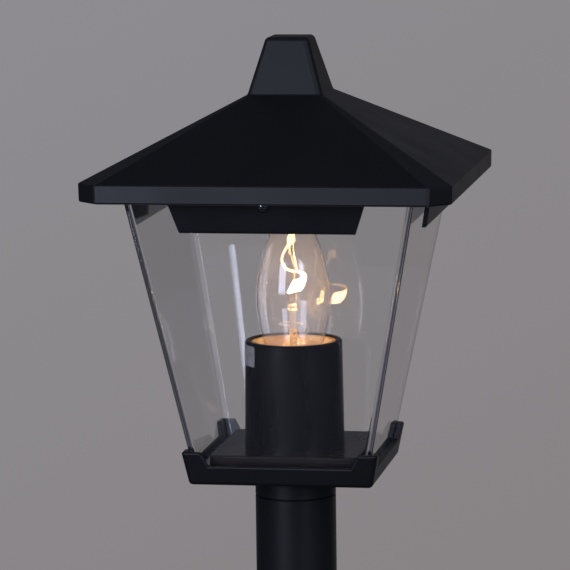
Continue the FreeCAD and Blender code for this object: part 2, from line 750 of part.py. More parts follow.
def roof():
    """Cast roof: fascia, four slopes with chamfered hips, chimney finial and four skirts with bosses."""
    foot_half = roof_half - FASCIA_DRAFT
    shell = loft(
        hipped(foot_half, HIP_CHAMFER, HIP_BLEND, eave_level),
        hipped(roof_half, HIP_CHAMFER, HIP_BLEND, fascia_top),
        hipped(CHIMNEY_FOOT_WIDTH / 2, HIP_TOP_CHAMFER, HIP_BLEND / 2, chimney_level),
    )
    shell = shell.makeFillet(FASCIA_EDGE, edges_at(shell, eave_level, 0))
    shell = shell.makeFillet(EAVE_EDGE, edges_at(shell, fascia_top, 0))
    body = shell.fuse(chimney()).removeSplitter().cut(roof_hollow())
    skirts = [turned(skirt(), 90 * side) for side in range(4)]
    bosses = [wall_frame(boss(), side, -ROOF_SCREW_SHIFT, roof_screw_level(), SEAT_GAP) for side in range(4)]
    body = body.fuse(skirts + bosses).removeSplitter()
    reach = (SKIRT_GAP + SKIRT_THICKNESS) * 2
    tapped = Part.makeCylinder(ROOF_SCREW_DIAMETER / 2 + THREAD_GAP, reach)
    holes = [wall_frame(tapped, side, -ROOF_SCREW_SHIFT, roof_screw_level(), 0) for side in range(4)]
    return body.cut(holes)


def chimney():
    """Tapered square finial with rounded edges and a small flare, let into the top of the roof."""
    taper = (CHIMNEY_FOOT_WIDTH - CHIMNEY_TOP_WIDTH) / 2 / CHIMNEY_HEIGHT
    foot = chimney_level - ROOF_WALL
    top = chimney_level + CHIMNEY_HEIGHT
    half = CHIMNEY_FOOT_WIDTH / 2 + taper * ROOF_WALL
    body = loft(square(half, CHIMNEY_CORNER, foot), square(CHIMNEY_TOP_WIDTH / 2, CHIMNEY_CORNER, top))
    body = body.makeFillet(CHIMNEY_TOP_EDGE, edges_at(body, top, 0))
    flare_top = chimney_level + CHIMNEY_FLARE
    flare_foot = chimney_level - CHIMNEY_FLARE * 2
    flare = loft(
        square(CHIMNEY_FOOT_WIDTH / 2 + CHIMNEY_FLARE * 2, CHIMNEY_CORNER, flare_foot),
        square(CHIMNEY_FOOT_WIDTH / 2 - CHIMNEY_FLARE / 2, CHIMNEY_CORNER, flare_top),
    )
    return body.fuse(flare)


def roof_hollow():
    """Room under the roof, from inside the fascia up into the finial."""
    top = chimney_level + CHIMNEY_HEIGHT - ROOF_WALL
    under = loft(
        hipped(hollow_half - FASCIA_DRAFT, hollow_chamfer, HIP_BLEND, eave_level),
        hipped(hollow_half, hollow_chamfer, HIP_BLEND, eave_level + under_slope(hollow_half)),
        hipped(throat_half, throat_chamfer, throat_chamfer / 2, eave_level + under_slope(throat_half)),
    )
    flue = loft(
        square(throat_half - ROOF_WALL, HIP_BLEND, chimney_level - ROOF_WALL * 2),
        square(CHIMNEY_TOP_WIDTH / 2 - ROOF_WALL, HIP_BLEND, top),
    )
    return under.fuse(flue)


def skirt():
    """Front skirt: a leaning trapezoid plate outside the shade, its outer foot edge rounded."""
    foot = eave_level - SKIRT_DROP
    top_half = SHADE_TOP_WIDTH / 2 + SKIRT_GAP + SKIRT_THICKNESS
    top = eave_level + under_slope(top_half) + ROOF_WALL / 2

    def section(z):
        inside = shade_half(z) + SKIRT_GAP
        outside = inside + SKIRT_THICKNESS
        half = SKIRT_LENGTH / 2 + SKIRT_END_SLOPE * (z - foot)
        corners = [V(-half, -outside, z), V(half, -outside, z), V(half, -inside, z), V(-half, -inside, z)]
        return Part.makePolygon(corners + corners[:1])

    body = loft(section(foot), section(top))
    middle = shade_half(foot) + SKIRT_GAP + SKIRT_THICKNESS / 2
    return body.makeFillet(SKIRT_EDGE, edges_at(body, foot, middle))


def boss():
    """Round boss between a skirt and the shade, along +Z from the shade."""
    return Part.makeCylinder(BOSS_DIAMETER / 2, SKIRT_GAP)


def roof_screws():
    """Four pan-head screws through the skirts into the holes of the shade."""
    stand = (SKIRT_GAP + SKIRT_THICKNESS) * math.cos(math.radians(wall_tilt))
    screw = pan_screw(ROOF_SCREW_DIAMETER, ROOF_SCREW_HEAD, stand + SHADE_WALL)
    return Part.makeCompound(
        [wall_frame(screw, side, -ROOF_SCREW_SHIFT, roof_screw_level(), stand) for side in range(4)]
    )


def bulb_outline(inset):
    """Edges of half the bulb's envelope, drawn a distance inside the outer glass, from neck to tip."""
    neck = CAP_DIAMETER / 2 - CAP_WALL - THREAD_GAP - inset
    wide = BULB_DIAMETER / 2 - inset
    start = cap_top - BULB_NECK_DEPTH
    middle = cap_top + BULB_WIDEST_HEIGHT
    tip = middle + BULB_UPPER_LENGTH - inset
    flare = BULB_WIDEST_HEIGHT / 3
    lower = Part.BezierCurve()
    lower.setPoles([V(neck, 0, cap_top), V(neck + flare / 4, 0, cap_top + flare / 2), V(wide, 0, middle - flare), V(wide, 0, middle)])
    upper = Part.BezierCurve()
    upper.setPoles([V(wide, 0, middle), V(wide, 0, middle + BULB_SHOULDER), V(BULB_TIP_ROUND, 0, tip), V(0, 0, tip)])
    return lines((neck, start), (neck, cap_top)) + [lower.toShape(), upper.toShape()]


def bulb_glass():
    """Hollow clear candle-shaped envelope, open at its neck."""
    outside = bulb_outline(0)
    inside = bulb_outline(BULB_GLASS)
    start = cap_top - BULB_NECK_DEPTH
    tip = cap_top + BULB_WIDEST_HEIGHT + BULB_UPPER_LENGTH
    neck = CAP_DIAMETER / 2 - CAP_WALL - THREAD_GAP
    closing = lines((0, tip - BULB_GLASS), (0, tip)) + lines((neck - BULB_GLASS, start), (neck, start))
    return revolve(Part.__sortEdges__(outside + inside + closing))


def bulb_cap():
    """Thin metal cap, a cup open at the top with a rounded foot."""
    radius = CAP_DIAMETER / 2
    return tube(radius, radius - CAP_WALL, cap_foot, cap_top).fuse(
        tube(radius - CAP_WALL, BULB_CONTACT_DIAMETER, cap_foot, cap_foot + CAP_WALL)
    )


def bulb_insulator():
    """Conical dark insulator under the cap."""
    wide = CAP_DIAMETER / 2 - CAP_WALL
    return Part.makeCone(BULB_CONTACT_DIAMETER / 2, wide, INSULATOR_HEIGHT, V(0, 0, cap_foot - INSULATOR_HEIGHT))


def bulb_contact():
    """Round solder contact at the bulb's foot."""
    return cylinder(BULB_CONTACT_DIAMETER / 2, bulb_foot, bulb_foot + BULB_CONTACT_HEIGHT)


def stem_top():
    """Height of the top of the glass stem's bead."""
    return cap_top - BULB_NECK_DEPTH + STEM_HEIGHT


def bulb_stem():
    """Glass stem: a flare sealed in the neck, a thin rod and a flat bead that holds the wires."""
    start = cap_top - BULB_NECK_DEPTH
    flare = CAP_DIAMETER / 2 - CAP_WALL - THREAD_GAP - BULB_GLASS - THREAD_GAP
    rod = STEM_DIAMETER / 2
    bead = stem_top() - STEM_BEAD_HEIGHT
    edges = lines((0, start), (flare, start), (flare, start + BULB_GLASS))
    edges.append(quarter((flare, start + BULB_GLASS), (rod, start + BULB_GLASS), (rod, start + flare)))
    edges += lines((rod, start + flare), (rod, bead), (0, bead), (0, start))
    button = cylinder(STEM_BEAD / 2, bead, stem_top())
    button = button.makeFillet(STEM_BEAD_HEIGHT / 3, edges_at(button, bead, 0) + edges_at(button, stem_top(), 0))
    return revolve(edges).fuse(button).removeSplitter()


def filament_place(place):
    """Point of the filament's path, in front of its supports."""
    x, height = place
    return V(x, -(SUPPORT_DIAMETER + FILAMENT_DIAMETER) / 2, cap_top + height)


def bulb_supports():
    """Two wires that rise from the stem's bead to the ends of the filament."""
    wires = []
    for side, (x, height) in ((-1, FILAMENT_FOOT), (1, FILAMENT_TOP)):
        foot = V(side * STEM_BEAD / 4, STEM_BEAD / 4, stem_top() + SEAT_GAP)
        rise = V(x, 0, cap_top + height) - foot
        wires.append(Part.makeCylinder(SUPPORT_DIAMETER / 2, rise.Length, foot, rise))
    return Part.makeCompound(wires)


def filament_arc(*places):
    """Round strand along the arc through three places."""
    arc = Part.Arc(*[filament_place(place) for place in places]).toShape()
    start = arc.FirstParameter
    profile = Part.Wire(Part.makeCircle(FILAMENT_DIAMETER / 2, arc.valueAt(start), arc.tangentAt(start)))
    return Part.Wire(arc).makePipeShell([profile], True, False)


def bulb_filament():
    """Filament in an S: two arcs that meet in a round bend."""
    bend = Part.makeSphere(FILAMENT_DIAMETER / 2, filament_place(FILAMENT_BEND))
    upper = filament_arc(FILAMENT_TOP, FILAMENT_BOW, FILAMENT_BEND)
    lower = filament_arc(FILAMENT_BEND, FILAMENT_APEX, FILAMENT_FOOT)
    return upper.fuse([bend, lower]).removeSplitter()


PIECES = {
    "base_flange": base_flange,
    "base_set_screws": base_set_screws,
    "post_tube": post_tube,
    "head_screws": head_screws,
    "tray": tray,
    "shade_seal": shade_seal,
    "shade": shade,
    "platform": platform,
    "nipple": nipple,
    "nipple_washer": nipple_washer,
    "nipple_nut": nipple_nut,
    "lamp_sleeve": lamp_sleeve,
    "holder_bracket": holder_bracket,
    "lampholder_body": lampholder_body,
    "holder_screws": holder_screws,
    "neutral_strip": neutral_strip,
    "lampholder_shell": lampholder_shell,
    "centre_contact": centre_contact,
    "live_lead": lambda: power_lead(1),
    "neutral_lead": lambda: power_lead(-1),
    "earth_screw": earth_screw,
    "earth_lug": earth_lug,
    "earth_lead": earth_lead,
    "terminal_block": terminal_block,
    "terminal_screws": terminal_screws,
    "roof": roof,
    "roof_screws": roof_screws,
    "bulb_glass": bulb_glass,
    "bulb_cap": bulb_cap,
    "bulb_insulator": bulb_insulator,
    "bulb_contact": bulb_contact,
    "bulb_stem": bulb_stem,
    "bulb_supports": bulb_supports,
    "bulb_filament": bulb_filament,
}

os.makedirs("parts", exist_ok=True)
for name, make in PIECES.items():
    piece = make()
    piece.exportStep(f"parts/{name}.step")
    print(name, "solids", len(piece.Solids), "volume", round(piece.Volume, 1), "valid", piece.isValid())
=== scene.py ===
"""Garden post lamp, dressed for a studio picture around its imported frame.

Every piece is in metres in the frame's own axes: +Z up, -Y the front, origin under the foot.
"""
import logging
import math
from dataclasses import dataclass
from enum import Enum

import bmesh
import bpy
from bpy.types import Material, Mesh, Node, NodeSocket, NodeTree, Object
from mathutils import Matrix, Vector

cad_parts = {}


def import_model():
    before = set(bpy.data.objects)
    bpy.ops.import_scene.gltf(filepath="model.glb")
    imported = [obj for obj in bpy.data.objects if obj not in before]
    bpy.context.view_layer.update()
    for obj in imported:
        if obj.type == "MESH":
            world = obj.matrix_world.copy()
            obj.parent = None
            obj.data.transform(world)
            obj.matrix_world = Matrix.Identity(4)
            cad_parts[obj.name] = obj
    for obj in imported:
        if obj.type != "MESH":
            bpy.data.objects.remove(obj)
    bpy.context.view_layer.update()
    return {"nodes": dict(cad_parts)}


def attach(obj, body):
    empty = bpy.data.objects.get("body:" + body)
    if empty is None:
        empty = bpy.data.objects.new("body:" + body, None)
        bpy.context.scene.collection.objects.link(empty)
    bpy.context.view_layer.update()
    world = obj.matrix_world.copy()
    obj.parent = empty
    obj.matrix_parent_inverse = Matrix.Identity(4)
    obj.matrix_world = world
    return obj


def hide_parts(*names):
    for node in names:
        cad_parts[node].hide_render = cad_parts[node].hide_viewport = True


LOG = logging.getLogger("post_lamp")
MM = 0.001
# How much of a relief's depth the shading shows
RELIEF_STRENGTH = 0.6
# The middle part of a pattern over which gloss and colour drift
GLOSS_SPAN = (0.3, 0.7)
COLOUR_SPAN = (0.35, 0.65)
# Points of a new shape that lie closer than this are one
MERGE_MM = 1e-4
# Light crosses many clear walls before it has shown the filament's mirror images
CLEAR_BOUNCES = 32
GLOSSY_BOUNCES = 24

Pair = tuple[float, float]
Triple = tuple[float, float, float]


def linear(hex_colour: str) -> tuple[float, float, float, float]:
    """Turns an sRGB hex colour into a linear RGBA colour.

    Args:
        hex_colour: six hex digits with a leading #.

    Returns:
        The linear colour with an alpha of 1.
    """
    channels = [int(hex_colour[i : i + 2], 16) / 255 for i in (1, 3, 5)]
    scene = [c / 12.92 if c <= 0.04045 else ((c + 0.055) / 1.055) ** 2.4 for c in channels]
    return (scene[0], scene[1], scene[2], 1.0)


def add_node(
    tree: NodeTree,
    kind: str,
    settings: dict[str, object] | None = None,
    links: dict[str, NodeSocket] | None = None,
) -> Node:
    """Adds a node with its settings and incoming links.

    Args:
        tree: the node tree that gets the node.
        kind: the node's class name.
        settings: values for its inputs, or for its own properties where no input has that name.
        links: the output socket that feeds each named input.

    Returns:
        The new node.
    """
    node = tree.nodes.new(kind)
    for name, value in (settings or {}).items():
        if name in node.inputs:
            node.inputs[name].default_value = value
        else:
            setattr(node, name, value)
    for name, source in (links or {}).items():
        tree.links.new(source, node.inputs[name])
    return node


def remap(tree: NodeTree, value: NodeSocket, span: Pair, result: Pair = (0.0, 1.0)) -> NodeSocket:
    """Maps a value from one span onto another.

    Args:
        tree: the node tree that gets the node.
        value: the value that is mapped.
        span: where the value starts and ends.
        result: what it is at those two ends.

    Returns:
        The mapped value, held between the two results.
    """
    limits = {"From Min": span[0], "From Max": span[1], "To Min": result[0], "To Max": result[1]}
    return add_node(tree, "ShaderNodeMapRange", limits, {"Value": value}).outputs["Result"]


class Body(Enum):
    """The rigid bodies of the frame."""

    LAMP = "lamp"
    BULB = "bulb"


@dataclass(frozen=True)
class Finish:
    """A plain finish; other finishes add their own texture to it."""

    name: str
    colour: str
    roughness: float
    metallic: float = 0.0
    ior: float = 1.5

    def material(self) -> Material:
        """Gives the finish's material, which is made once."""
        return bpy.data.materials.get(self.name) or self.make()

    def make(self) -> Material:
        """Builds the material.

        Returns:
            A node material with one principled shader.
        """
        material = bpy.data.materials.new(self.name)
        material.use_nodes = True
        shader = material.node_tree.nodes["Principled BSDF"]
        shader.inputs["Base Color"].default_value = linear(self.colour)
        shader.inputs["Roughness"].default_value = self.roughness
        shader.inputs["Metallic"].default_value = self.metallic
        shader.inputs["IOR"].default_value = self.ior
        self.texture(material.node_tree, shader)
        return material

    def texture(self, tree: NodeTree, shader: Node) -> None:
        """Adds nothing: the plain finish has no texture."""

    def mottle(self, tree: NodeTree, size_mm: Triple, detail: float = 2.0) -> NodeSocket:
        """Adds an irregular pattern of a real size, fixed to the piece.

        Args:
            tree: the material's nodes.
            size_mm: the size of its grains along each axis.
            detail: how many finer layers it has.

        Returns:
            The pattern's value from 0 to 1.
        """
        place = add_node(tree, "ShaderNodeTexCoord").outputs["Object"]
        scale = tuple(1 / (s * MM) for s in size_mm)
        scaled = add_node(tree, "ShaderNodeMapping", {"Scale": scale}, {"Vector": place}).outputs["Vector"]
        noise = {"Scale": 1.0, "Detail": detail}
        return add_node(tree, "ShaderNodeTexNoise", noise, {"Vector": scaled}).outputs["Fac"]

    def relief(self, tree: NodeTree, shader: Node, grain: NodeSocket, depth_mm: float) -> None:
        """Raises the surface by a pattern.

        Args:
            tree: the material's nodes.
            shader: its principled shader.
            grain: the pattern's height from 0 to 1.
            depth_mm: the real depth of the pattern.
        """
        depth = {"Strength": RELIEF_STRENGTH, "Distance": depth_mm * MM}
        bump = add_node(tree, "ShaderNodeBump", depth, {"Height": grain})
        tree.links.new(bump.outputs["Normal"], shader.inputs["Normal"])

    def gloss_drift(self, tree: NodeTree, shader: Node, cloud: NodeSocket, swing: float) -> None:
        """Lets the roughness drift about its mean.

        Args:
            tree: the material's nodes.
            shader: its principled shader.
            cloud: the pattern that steers it, from 0 to 1.
            swing: the most that it leaves the mean.
        """
        gloss = remap(tree, cloud, GLOSS_SPAN, (self.roughness - swing, self.roughness + swing))
        tree.links.new(gloss, shader.inputs["Roughness"])

    def colour_drift(self, tree: NodeTree, shader: Node, cloud: NodeSocket, other: str) -> None:
        """Lets the colour drift to a second one.

        Args:
            tree: the material's nodes.
            shader: its principled shader.
            cloud: the pattern that steers it, from 0 to 1.
            other: the second colour.
        """
        mix = add_node(
            tree,
            "ShaderNodeMix",
            {"data_type": "RGBA", "A": linear(self.colour), "B": linear(other)},
            {"Factor": remap(tree, cloud, COLOUR_SPAN)},
        )
        tree.links.new(mix.outputs["Result"], shader.inputs["Base Color"])


@dataclass(frozen=True)
class PowderCoat(Finish):
    """Baked powder coat: a fine orange-peel skin whose gloss varies a little from place to place."""

    grain_mm: float = 0.9
    cloud_mm: float = 30.0
    relief_mm: float = 0.012
    swing: float = 0.04
    lean: float = 0.0
    front_mm: float = -84.4
    front_slack_mm: float = 0.2

    def texture(self, tree: NodeTree, shader: Node) -> None:
        """Adds the orange peel and the drift of gloss.

        Args:
            tree: the material's nodes.
            shader: its principled shader.
        """
        self.relief(tree, shader, self.mottle(tree, (self.grain_mm,) * 3), self.relief_mm)
        self.gloss_drift(tree, shader, self.mottle(tree, (self.cloud_mm,) * 3, detail=3.0), self.swing)
        if self.lean:
            self.lean_back(tree, shader.inputs["Normal"].links[0].from_node)

    def lean_back(self, tree: NodeTree, peel: Node) -> None:
        """Shades the front face as if it leaned back a little, as a casting's draft does.

        Args:
            tree: the material's nodes.
            peel: the relief node that takes the leaning normal.
        """
        place = add_node(tree, "ShaderNodeTexCoord").outputs["Object"]
        axes = add_node(tree, "ShaderNodeSeparateXYZ", {}, {"Vector": place}).outputs
        edge = ((self.front_mm - self.front_slack_mm) * MM, (self.front_mm + self.front_slack_mm) * MM)
        front = remap(tree, axes["Y"], edge, (-self.lean, 0.0))
        height = add_node(tree, "ShaderNodeMath", {"operation": "MULTIPLY"})
        tree.links.new(axes["Z"], height.inputs[0])
        tree.links.new(front, height.inputs[1])
        full = {"Strength": 1.0, "Distance": 1.0}
        bump = add_node(tree, "ShaderNodeBump", full, {"Height": height.outputs["Value"]})
        tree.links.new(bump.outputs["Normal"], peel.inputs["Normal"])


@dataclass(frozen=True)
class Moulded(Finish):
    """Moulded plastic or rubber: drag marks along the draw, and a colour that isn't quite even."""

    second: str = "#000000"
    streak_mm: Triple = (5.0, 5.0, 40.0)
    grain_mm: float = 0.7
    relief_mm: float = 0.01
    swing: float = 0.06

    def texture(self, tree: NodeTree, shader: Node) -> None:
        """Adds the drag marks and the uneven colour.

        Args:
            tree: the material's nodes.
            shader: its principled shader.
        """
        streaks = self.mottle(tree, self.streak_mm, detail=3.0)
        self.relief(tree, shader, self.mottle(tree, (self.grain_mm,) * 3), self.relief_mm)
        self.gloss_drift(tree, shader, streaks, self.swing)
        self.colour_drift(tree, shader, streaks, self.second)


@dataclass(frozen=True)
class Plated(Finish):
    """Drawn or pressed metal: fine draw lines, and a tone that drifts where the plating is thinner."""

    second: str = "#000000"
    lines_mm: Triple = (0.5, 0.5, 6.0)
    patch_mm: float = 4.0
    relief_mm: float = 0.004
    swing: float = 0.08

    def texture(self, tree: NodeTree, shader: Node) -> None:
        """Adds the draw lines and the drift of tone.

        Args:
            tree: the material's nodes.
            shader: its principled shader.
        """
        lines = self.mottle(tree, self.lines_mm, detail=3.0)
        self.relief(tree, shader, lines, self.relief_mm)
        self.gloss_drift(tree, shader, lines, self.swing)
        patches = self.mottle(tree, (self.patch_mm,) * 3, detail=3.0)
        self.colour_drift(tree, shader, patches, self.second)


@dataclass(frozen=True)
class Glazed(Finish):
    """Glazed ceramic: a soft cream that pools darker, under a glossy skin with slight ripples."""

    second: str = "#000000"
    pool_mm: float = 7.0
    ripple_mm: float = 0.02
    swing: float = 0.05
    see_into: float = 0.15
    bleed_mm: Triple = (2.0, 1.2, 0.6)

    def texture(self, tree: NodeTree, shader: Node) -> None:
        """Adds the pooled glaze and its ripples.

        Args:
            tree: the material's nodes.
            shader: its principled shader.
        """
        pools = self.mottle(tree, (self.pool_mm,) * 3, detail=4.0)
        self.relief(tree, shader, pools, self.ripple_mm)
        self.colour_drift(tree, shader, pools, self.second)
        self.gloss_drift(tree, shader, pools, self.swing)
        shader.inputs["Subsurface Weight"].default_value = self.see_into
        shader.inputs["Subsurface Radius"].default_value = tuple(b * MM for b in self.bleed_mm)


@dataclass(frozen=True)
class ClearWall(Finish):
    """A clear wall that light passes through, with the slow waves that moulding or blowing leaves."""

    wave_mm: Triple = (30.0, 30.0, 60.0)
    depth_mm: float = 0.02
    haze: float = 0.0

    def texture(self, tree: NodeTree, shader: Node) -> None:
        """Makes the shader let light through and waves its surface.

        Args:
            tree: the material's nodes.
            shader: its principled shader.
        """
        shader.inputs["Transmission Weight"].default_value = 1.0 - self.haze
        self.relief(tree, shader, self.mottle(tree, self.wave_mm, detail=1.0), self.depth_mm)


@dataclass(frozen=True)
class Glow(Finish):
    """White-hot wire that gives off light, far hotter in the bunched lower stroke than in the upper arc."""

    cool: float = 3.0
    hot: float = 34.0
    cool_above_mm: float = 690.2
    hot_below_mm: float = 688.8

    def texture(self, tree: NodeTree, shader: Node) -> None:
        """Makes the shader emit by height, from the cooler arc down to the hot stroke.

        Args:
            tree: the material's nodes.
            shader: its principled shader.
        """
        shader.inputs["Emission Color"].default_value = linear(self.colour)
        place = add_node(tree, "ShaderNodeTexCoord").outputs["Object"]
        axes = add_node(tree, "ShaderNodeSeparateXYZ", {}, {"Vector": place}).outputs
        heights = (self.hot_below_mm * MM, self.cool_above_mm * MM)
        heat = remap(tree, axes["Z"], heights, (self.hot, self.cool))
        tree.links.new(heat, shader.inputs["Emission Strength"])


# Satin black powder coat on die-cast aluminium: near black, soft broad highlights
CAST_BLACK = PowderCoat("powder_coat_on_casting", "#0f0f12", 0.45)
# The same coat on the roof, whose front edge is shaded as if it leaned back a little to the light
ROOF_BLACK = PowderCoat("powder_coat_on_roof", "#0f0f12", 0.45, lean=0.09)
# The platform under the lampholder is coated too, and less shiny; its warm brown tint is painted light from
# the bulb
PLATFORM_BLACK = PowderCoat("powder_coat_with_painted_bulb_light", "#1b1614", 0.25, ior=1.3)
# The same coat on drawn tube lies a little smoother
TUBE_BLACK = PowderCoat("powder_coat_on_tube", "#0f0f12", 0.42, grain_mm=0.7, relief_mm=0.008)
# Moulded black plastic: satin, with faint upright drag marks
SLEEVE_BLACK = Moulded(
    "moulded_black_plastic", "#0a0909", 0.30, ior=1.27, second="#0f0e0f", streak_mm=(7.0, 7.0, 45.0)
)
# Clear moulded acrylic: polished, hardly any colour, slow waves in its reflections
CLEAR_PLASTIC = ClearWall("clear_moulded_acrylic", "#fdfdfc", 0.0, ior=1.49)
# Blown lamp glass: thin, slightly wavy, with a faint haze that the filament lights up
BULB_GLASS = ClearWall(
    "blown_clear_glass", "#fefefe", 0.0, ior=1.62, wave_mm=(12.0, 12.0, 25.0), depth_mm=0.015, haze=0.035
)
# Stem glass: drawn thick and a little milky, so that it takes up the filament's light
STEM_GLASS = ClearWall(
    "drawn_stem_glass", "#fdf3e6", 0.05, wave_mm=(3.0, 3.0, 6.0), depth_mm=0.03, haze=0.10
)
# Cream glazed ceramic: glossy and slightly see-into
CERAMIC = Glazed("cream_glazed_ceramic", "#e6c890", 0.25, second="#c89454")
# Zinc-plated steel: bright bluish grey with draw lines
ZINC = Plated("zinc_plated_steel", "#b9bcc0", 0.26, metallic=1.0, second="#8f949b")
# Polished screw heads: smoother than the other zinc
POLISHED_ZINC = Plated("polished_zinc_screw", "#b3b6bc", 0.08, metallic=1.0, second="#8d9299", swing=0.02)
# Nickel-plated brass of the bulb's cap: warm grey, pressed
NICKEL = Plated("nickel_plated_brass", "#c9c4b8", 0.25, metallic=1.0, second="#a89f8c")
# Plain brass: yellow, slightly tarnished in patches
BRASS = Plated("plain_brass", "#c9a55c", 0.3, metallic=1.0, second="#9a7637")
# Lead-in wire with a thin copper skin: bright gold in the filament's light
COPPER = Plated(
    "copper_clad_wire", "#ffe08a", 0.30, metallic=0.3, second="#f2bc5c", lines_mm=(0.8, 0.8, 1.5)
)
# Grey silicone sheet: matt, bloomed
SILICONE = Moulded("grey_silicone", "#4a4a4c", 0.6, second="#565659")
# Live and neutral leads: soft brown and blue insulation
BROWN_LEAD = Moulded("brown_lead_insulation", "#5a3a22", 0.5, second="#6a472b")
BLUE_LEAD = Moulded("blue_lead_insulation", "#24509a", 0.5, second="#2d5cab")
# Earth lead: green with yellow in broad runs
GREEN_LEAD = Moulded("green_lead_insulation", "#4f8a2a", 0.5, second="#d7c23a", streak_mm=(2.0, 2.0, 60.0))
# Natural nylon: milky and waxy
NATURAL_NYLON = Moulded("natural_nylon", "#dedcd2", 0.45, second="#cfccbf", streak_mm=(8.0, 8.0, 8.0))
# Vitreous insulator: black glass with a few swirls
VITRITE = Moulded("black_vitreous_insulator", "#0c0c0d", 0.15, second="#1b1a1f", streak_mm=(6.0, 6.0, 6.0))
# Anchor wires of drawn molybdenum: pale and slightly bright
MOLYBDENUM = Plated("drawn_support_wire", "#e2dccf", 0.35, metallic=0.5, second="#b3aa9a")
# The wires that carry the filament: oxidised, so that they hardly show against its light
OXIDISED_WIRE = Plated("oxidised_support_wire", "#6b655b", 0.8, second="#554f47")
# Plain film label: grey and matt, faintly mottled
LABEL_FILM = Moulded(
    "plain_label_film", "#8d8a88", 0.55, second="#7a7876", streak_mm=(3.0, 3.0, 3.0), relief_mm=0.004
)
# Plain paper of the studio's floor: pale and matt
FLOOR_PAPER = Finish("pale_floor_paper", "#aaa8aa", 0.9)
# Tungsten at white heat
TUNGSTEN = Glow("glowing_tungsten", "#ffd69a", 0.5)

DRESS: dict[str, Finish] = {
    "base_flange": CAST_BLACK,
    "base_set_screws": ZINC,
    "post_tube": TUBE_BLACK,
    "head_screws": ZINC,
    "tray": CAST_BLACK,
    "shade_seal": SILICONE,
    "shade": CLEAR_PLASTIC,
    "platform": PLATFORM_BLACK,
    "nipple": ZINC,
    "nipple_washer": ZINC,
    "nipple_nut": ZINC,
    "lamp_sleeve": SLEEVE_BLACK,
    "holder_bracket": ZINC,
    "lampholder_body": CERAMIC,
    "holder_screws": ZINC,
    "neutral_strip": BRASS,
    "lampholder_shell": BRASS,
    "centre_contact": BRASS,
    "live_lead": BROWN_LEAD,
    "neutral_lead": BLUE_LEAD,
    "earth_screw": ZINC,
    "earth_lug": BRASS,
    "earth_lead": GREEN_LEAD,
    "terminal_block": NATURAL_NYLON,
    "terminal_screws": BRASS,
    "roof": ROOF_BLACK,
    "roof_screws": ZINC,
    "bulb_glass": BULB_GLASS,
    "bulb_cap": NICKEL,
    "bulb_insulator": VITRITE,
    "bulb_contact": NICKEL,
    "bulb_stem": STEM_GLASS,
    "bulb_supports": OXIDISED_WIRE,
    "bulb_filament": TUNGSTEN,
}
CLEAR_NODES = ("shade", "bulb_glass", "bulb_stem")


@dataclass
class PhotoCamera:
    """The camera that took the photograph, found by fitting the lantern's edges."""

    position_mm: Triple = (294.8, -1711.2, 934.4)
    yaw: float = 9.901
    pitch: float = 8.198
    roll: float = -0.737
    lens_mm: float = 236.52
    sensor_mm: float = 36.0
    far_m: float = 100.0

    def build(self) -> Object:
        """Makes the scene's camera.

        Returns:
            The camera object.
        """
        yaw, pitch, roll = (math.radians(a) for a in (self.yaw, self.pitch, self.roll))
        flat = math.cos(pitch)
        ahead = Vector((-math.sin(yaw) * flat, math.cos(yaw) * flat, -math.sin(pitch)))
        level = Vector((math.cos(yaw), math.sin(yaw), 0.0))
        upright = level.cross(ahead)
        right = math.cos(roll) * level + math.sin(roll) * upright
        top = -math.sin(roll) * level + math.cos(roll) * upright
        data = bpy.data.cameras.new("photo_camera")
        data.lens = self.lens_mm
        data.sensor_width = self.sensor_mm
        data.sensor_fit = "HORIZONTAL"
        data.clip_end = self.far_m
        camera = bpy.data.objects.new("photo_camera", data)
        place = Matrix((right, top, -ahead)).transposed().to_4x4()
        place.translation = Vector(self.position_mm) * MM
        camera.matrix_world = place
        bpy.context.scene.collection.objects.link(camera)
        bpy.context.scene.camera = camera
        return camera


@dataclass(frozen=True)
class Softbox:
    """A studio light, placed round the lantern by angles and aimed at it."""

    name: str
    azimuth: float
    elevation: float
    distance_m: float
    size_m: Pair
    watts: float
    colour: str = "#dae1ff"

    def build(self, aim: Vector) -> Object:
        """Makes the light, which shows in reflections but not itself.

        Args:
            aim: the point that it faces.

        Returns:
            The light object.
        """
        around, above = math.radians(self.azimuth), math.radians(self.elevation)
        flat = math.cos(above)
        away = Vector((math.sin(around) * flat, -math.cos(around) * flat, math.sin(above)))
        data = bpy.data.lights.new(self.name, "AREA")
        data.shape = "RECTANGLE"
        data.size, data.size_y = self.size_m
        data.energy = self.watts
        data.color = linear(self.colour)[:3]
        light = bpy.data.objects.new(self.name, data)
        light.location = aim + away * self.distance_m
        light.rotation_euler = away.to_track_quat("Z", "Y").to_euler()
        light.visible_camera = False
        bpy.context.scene.collection.objects.link(light)
        return light


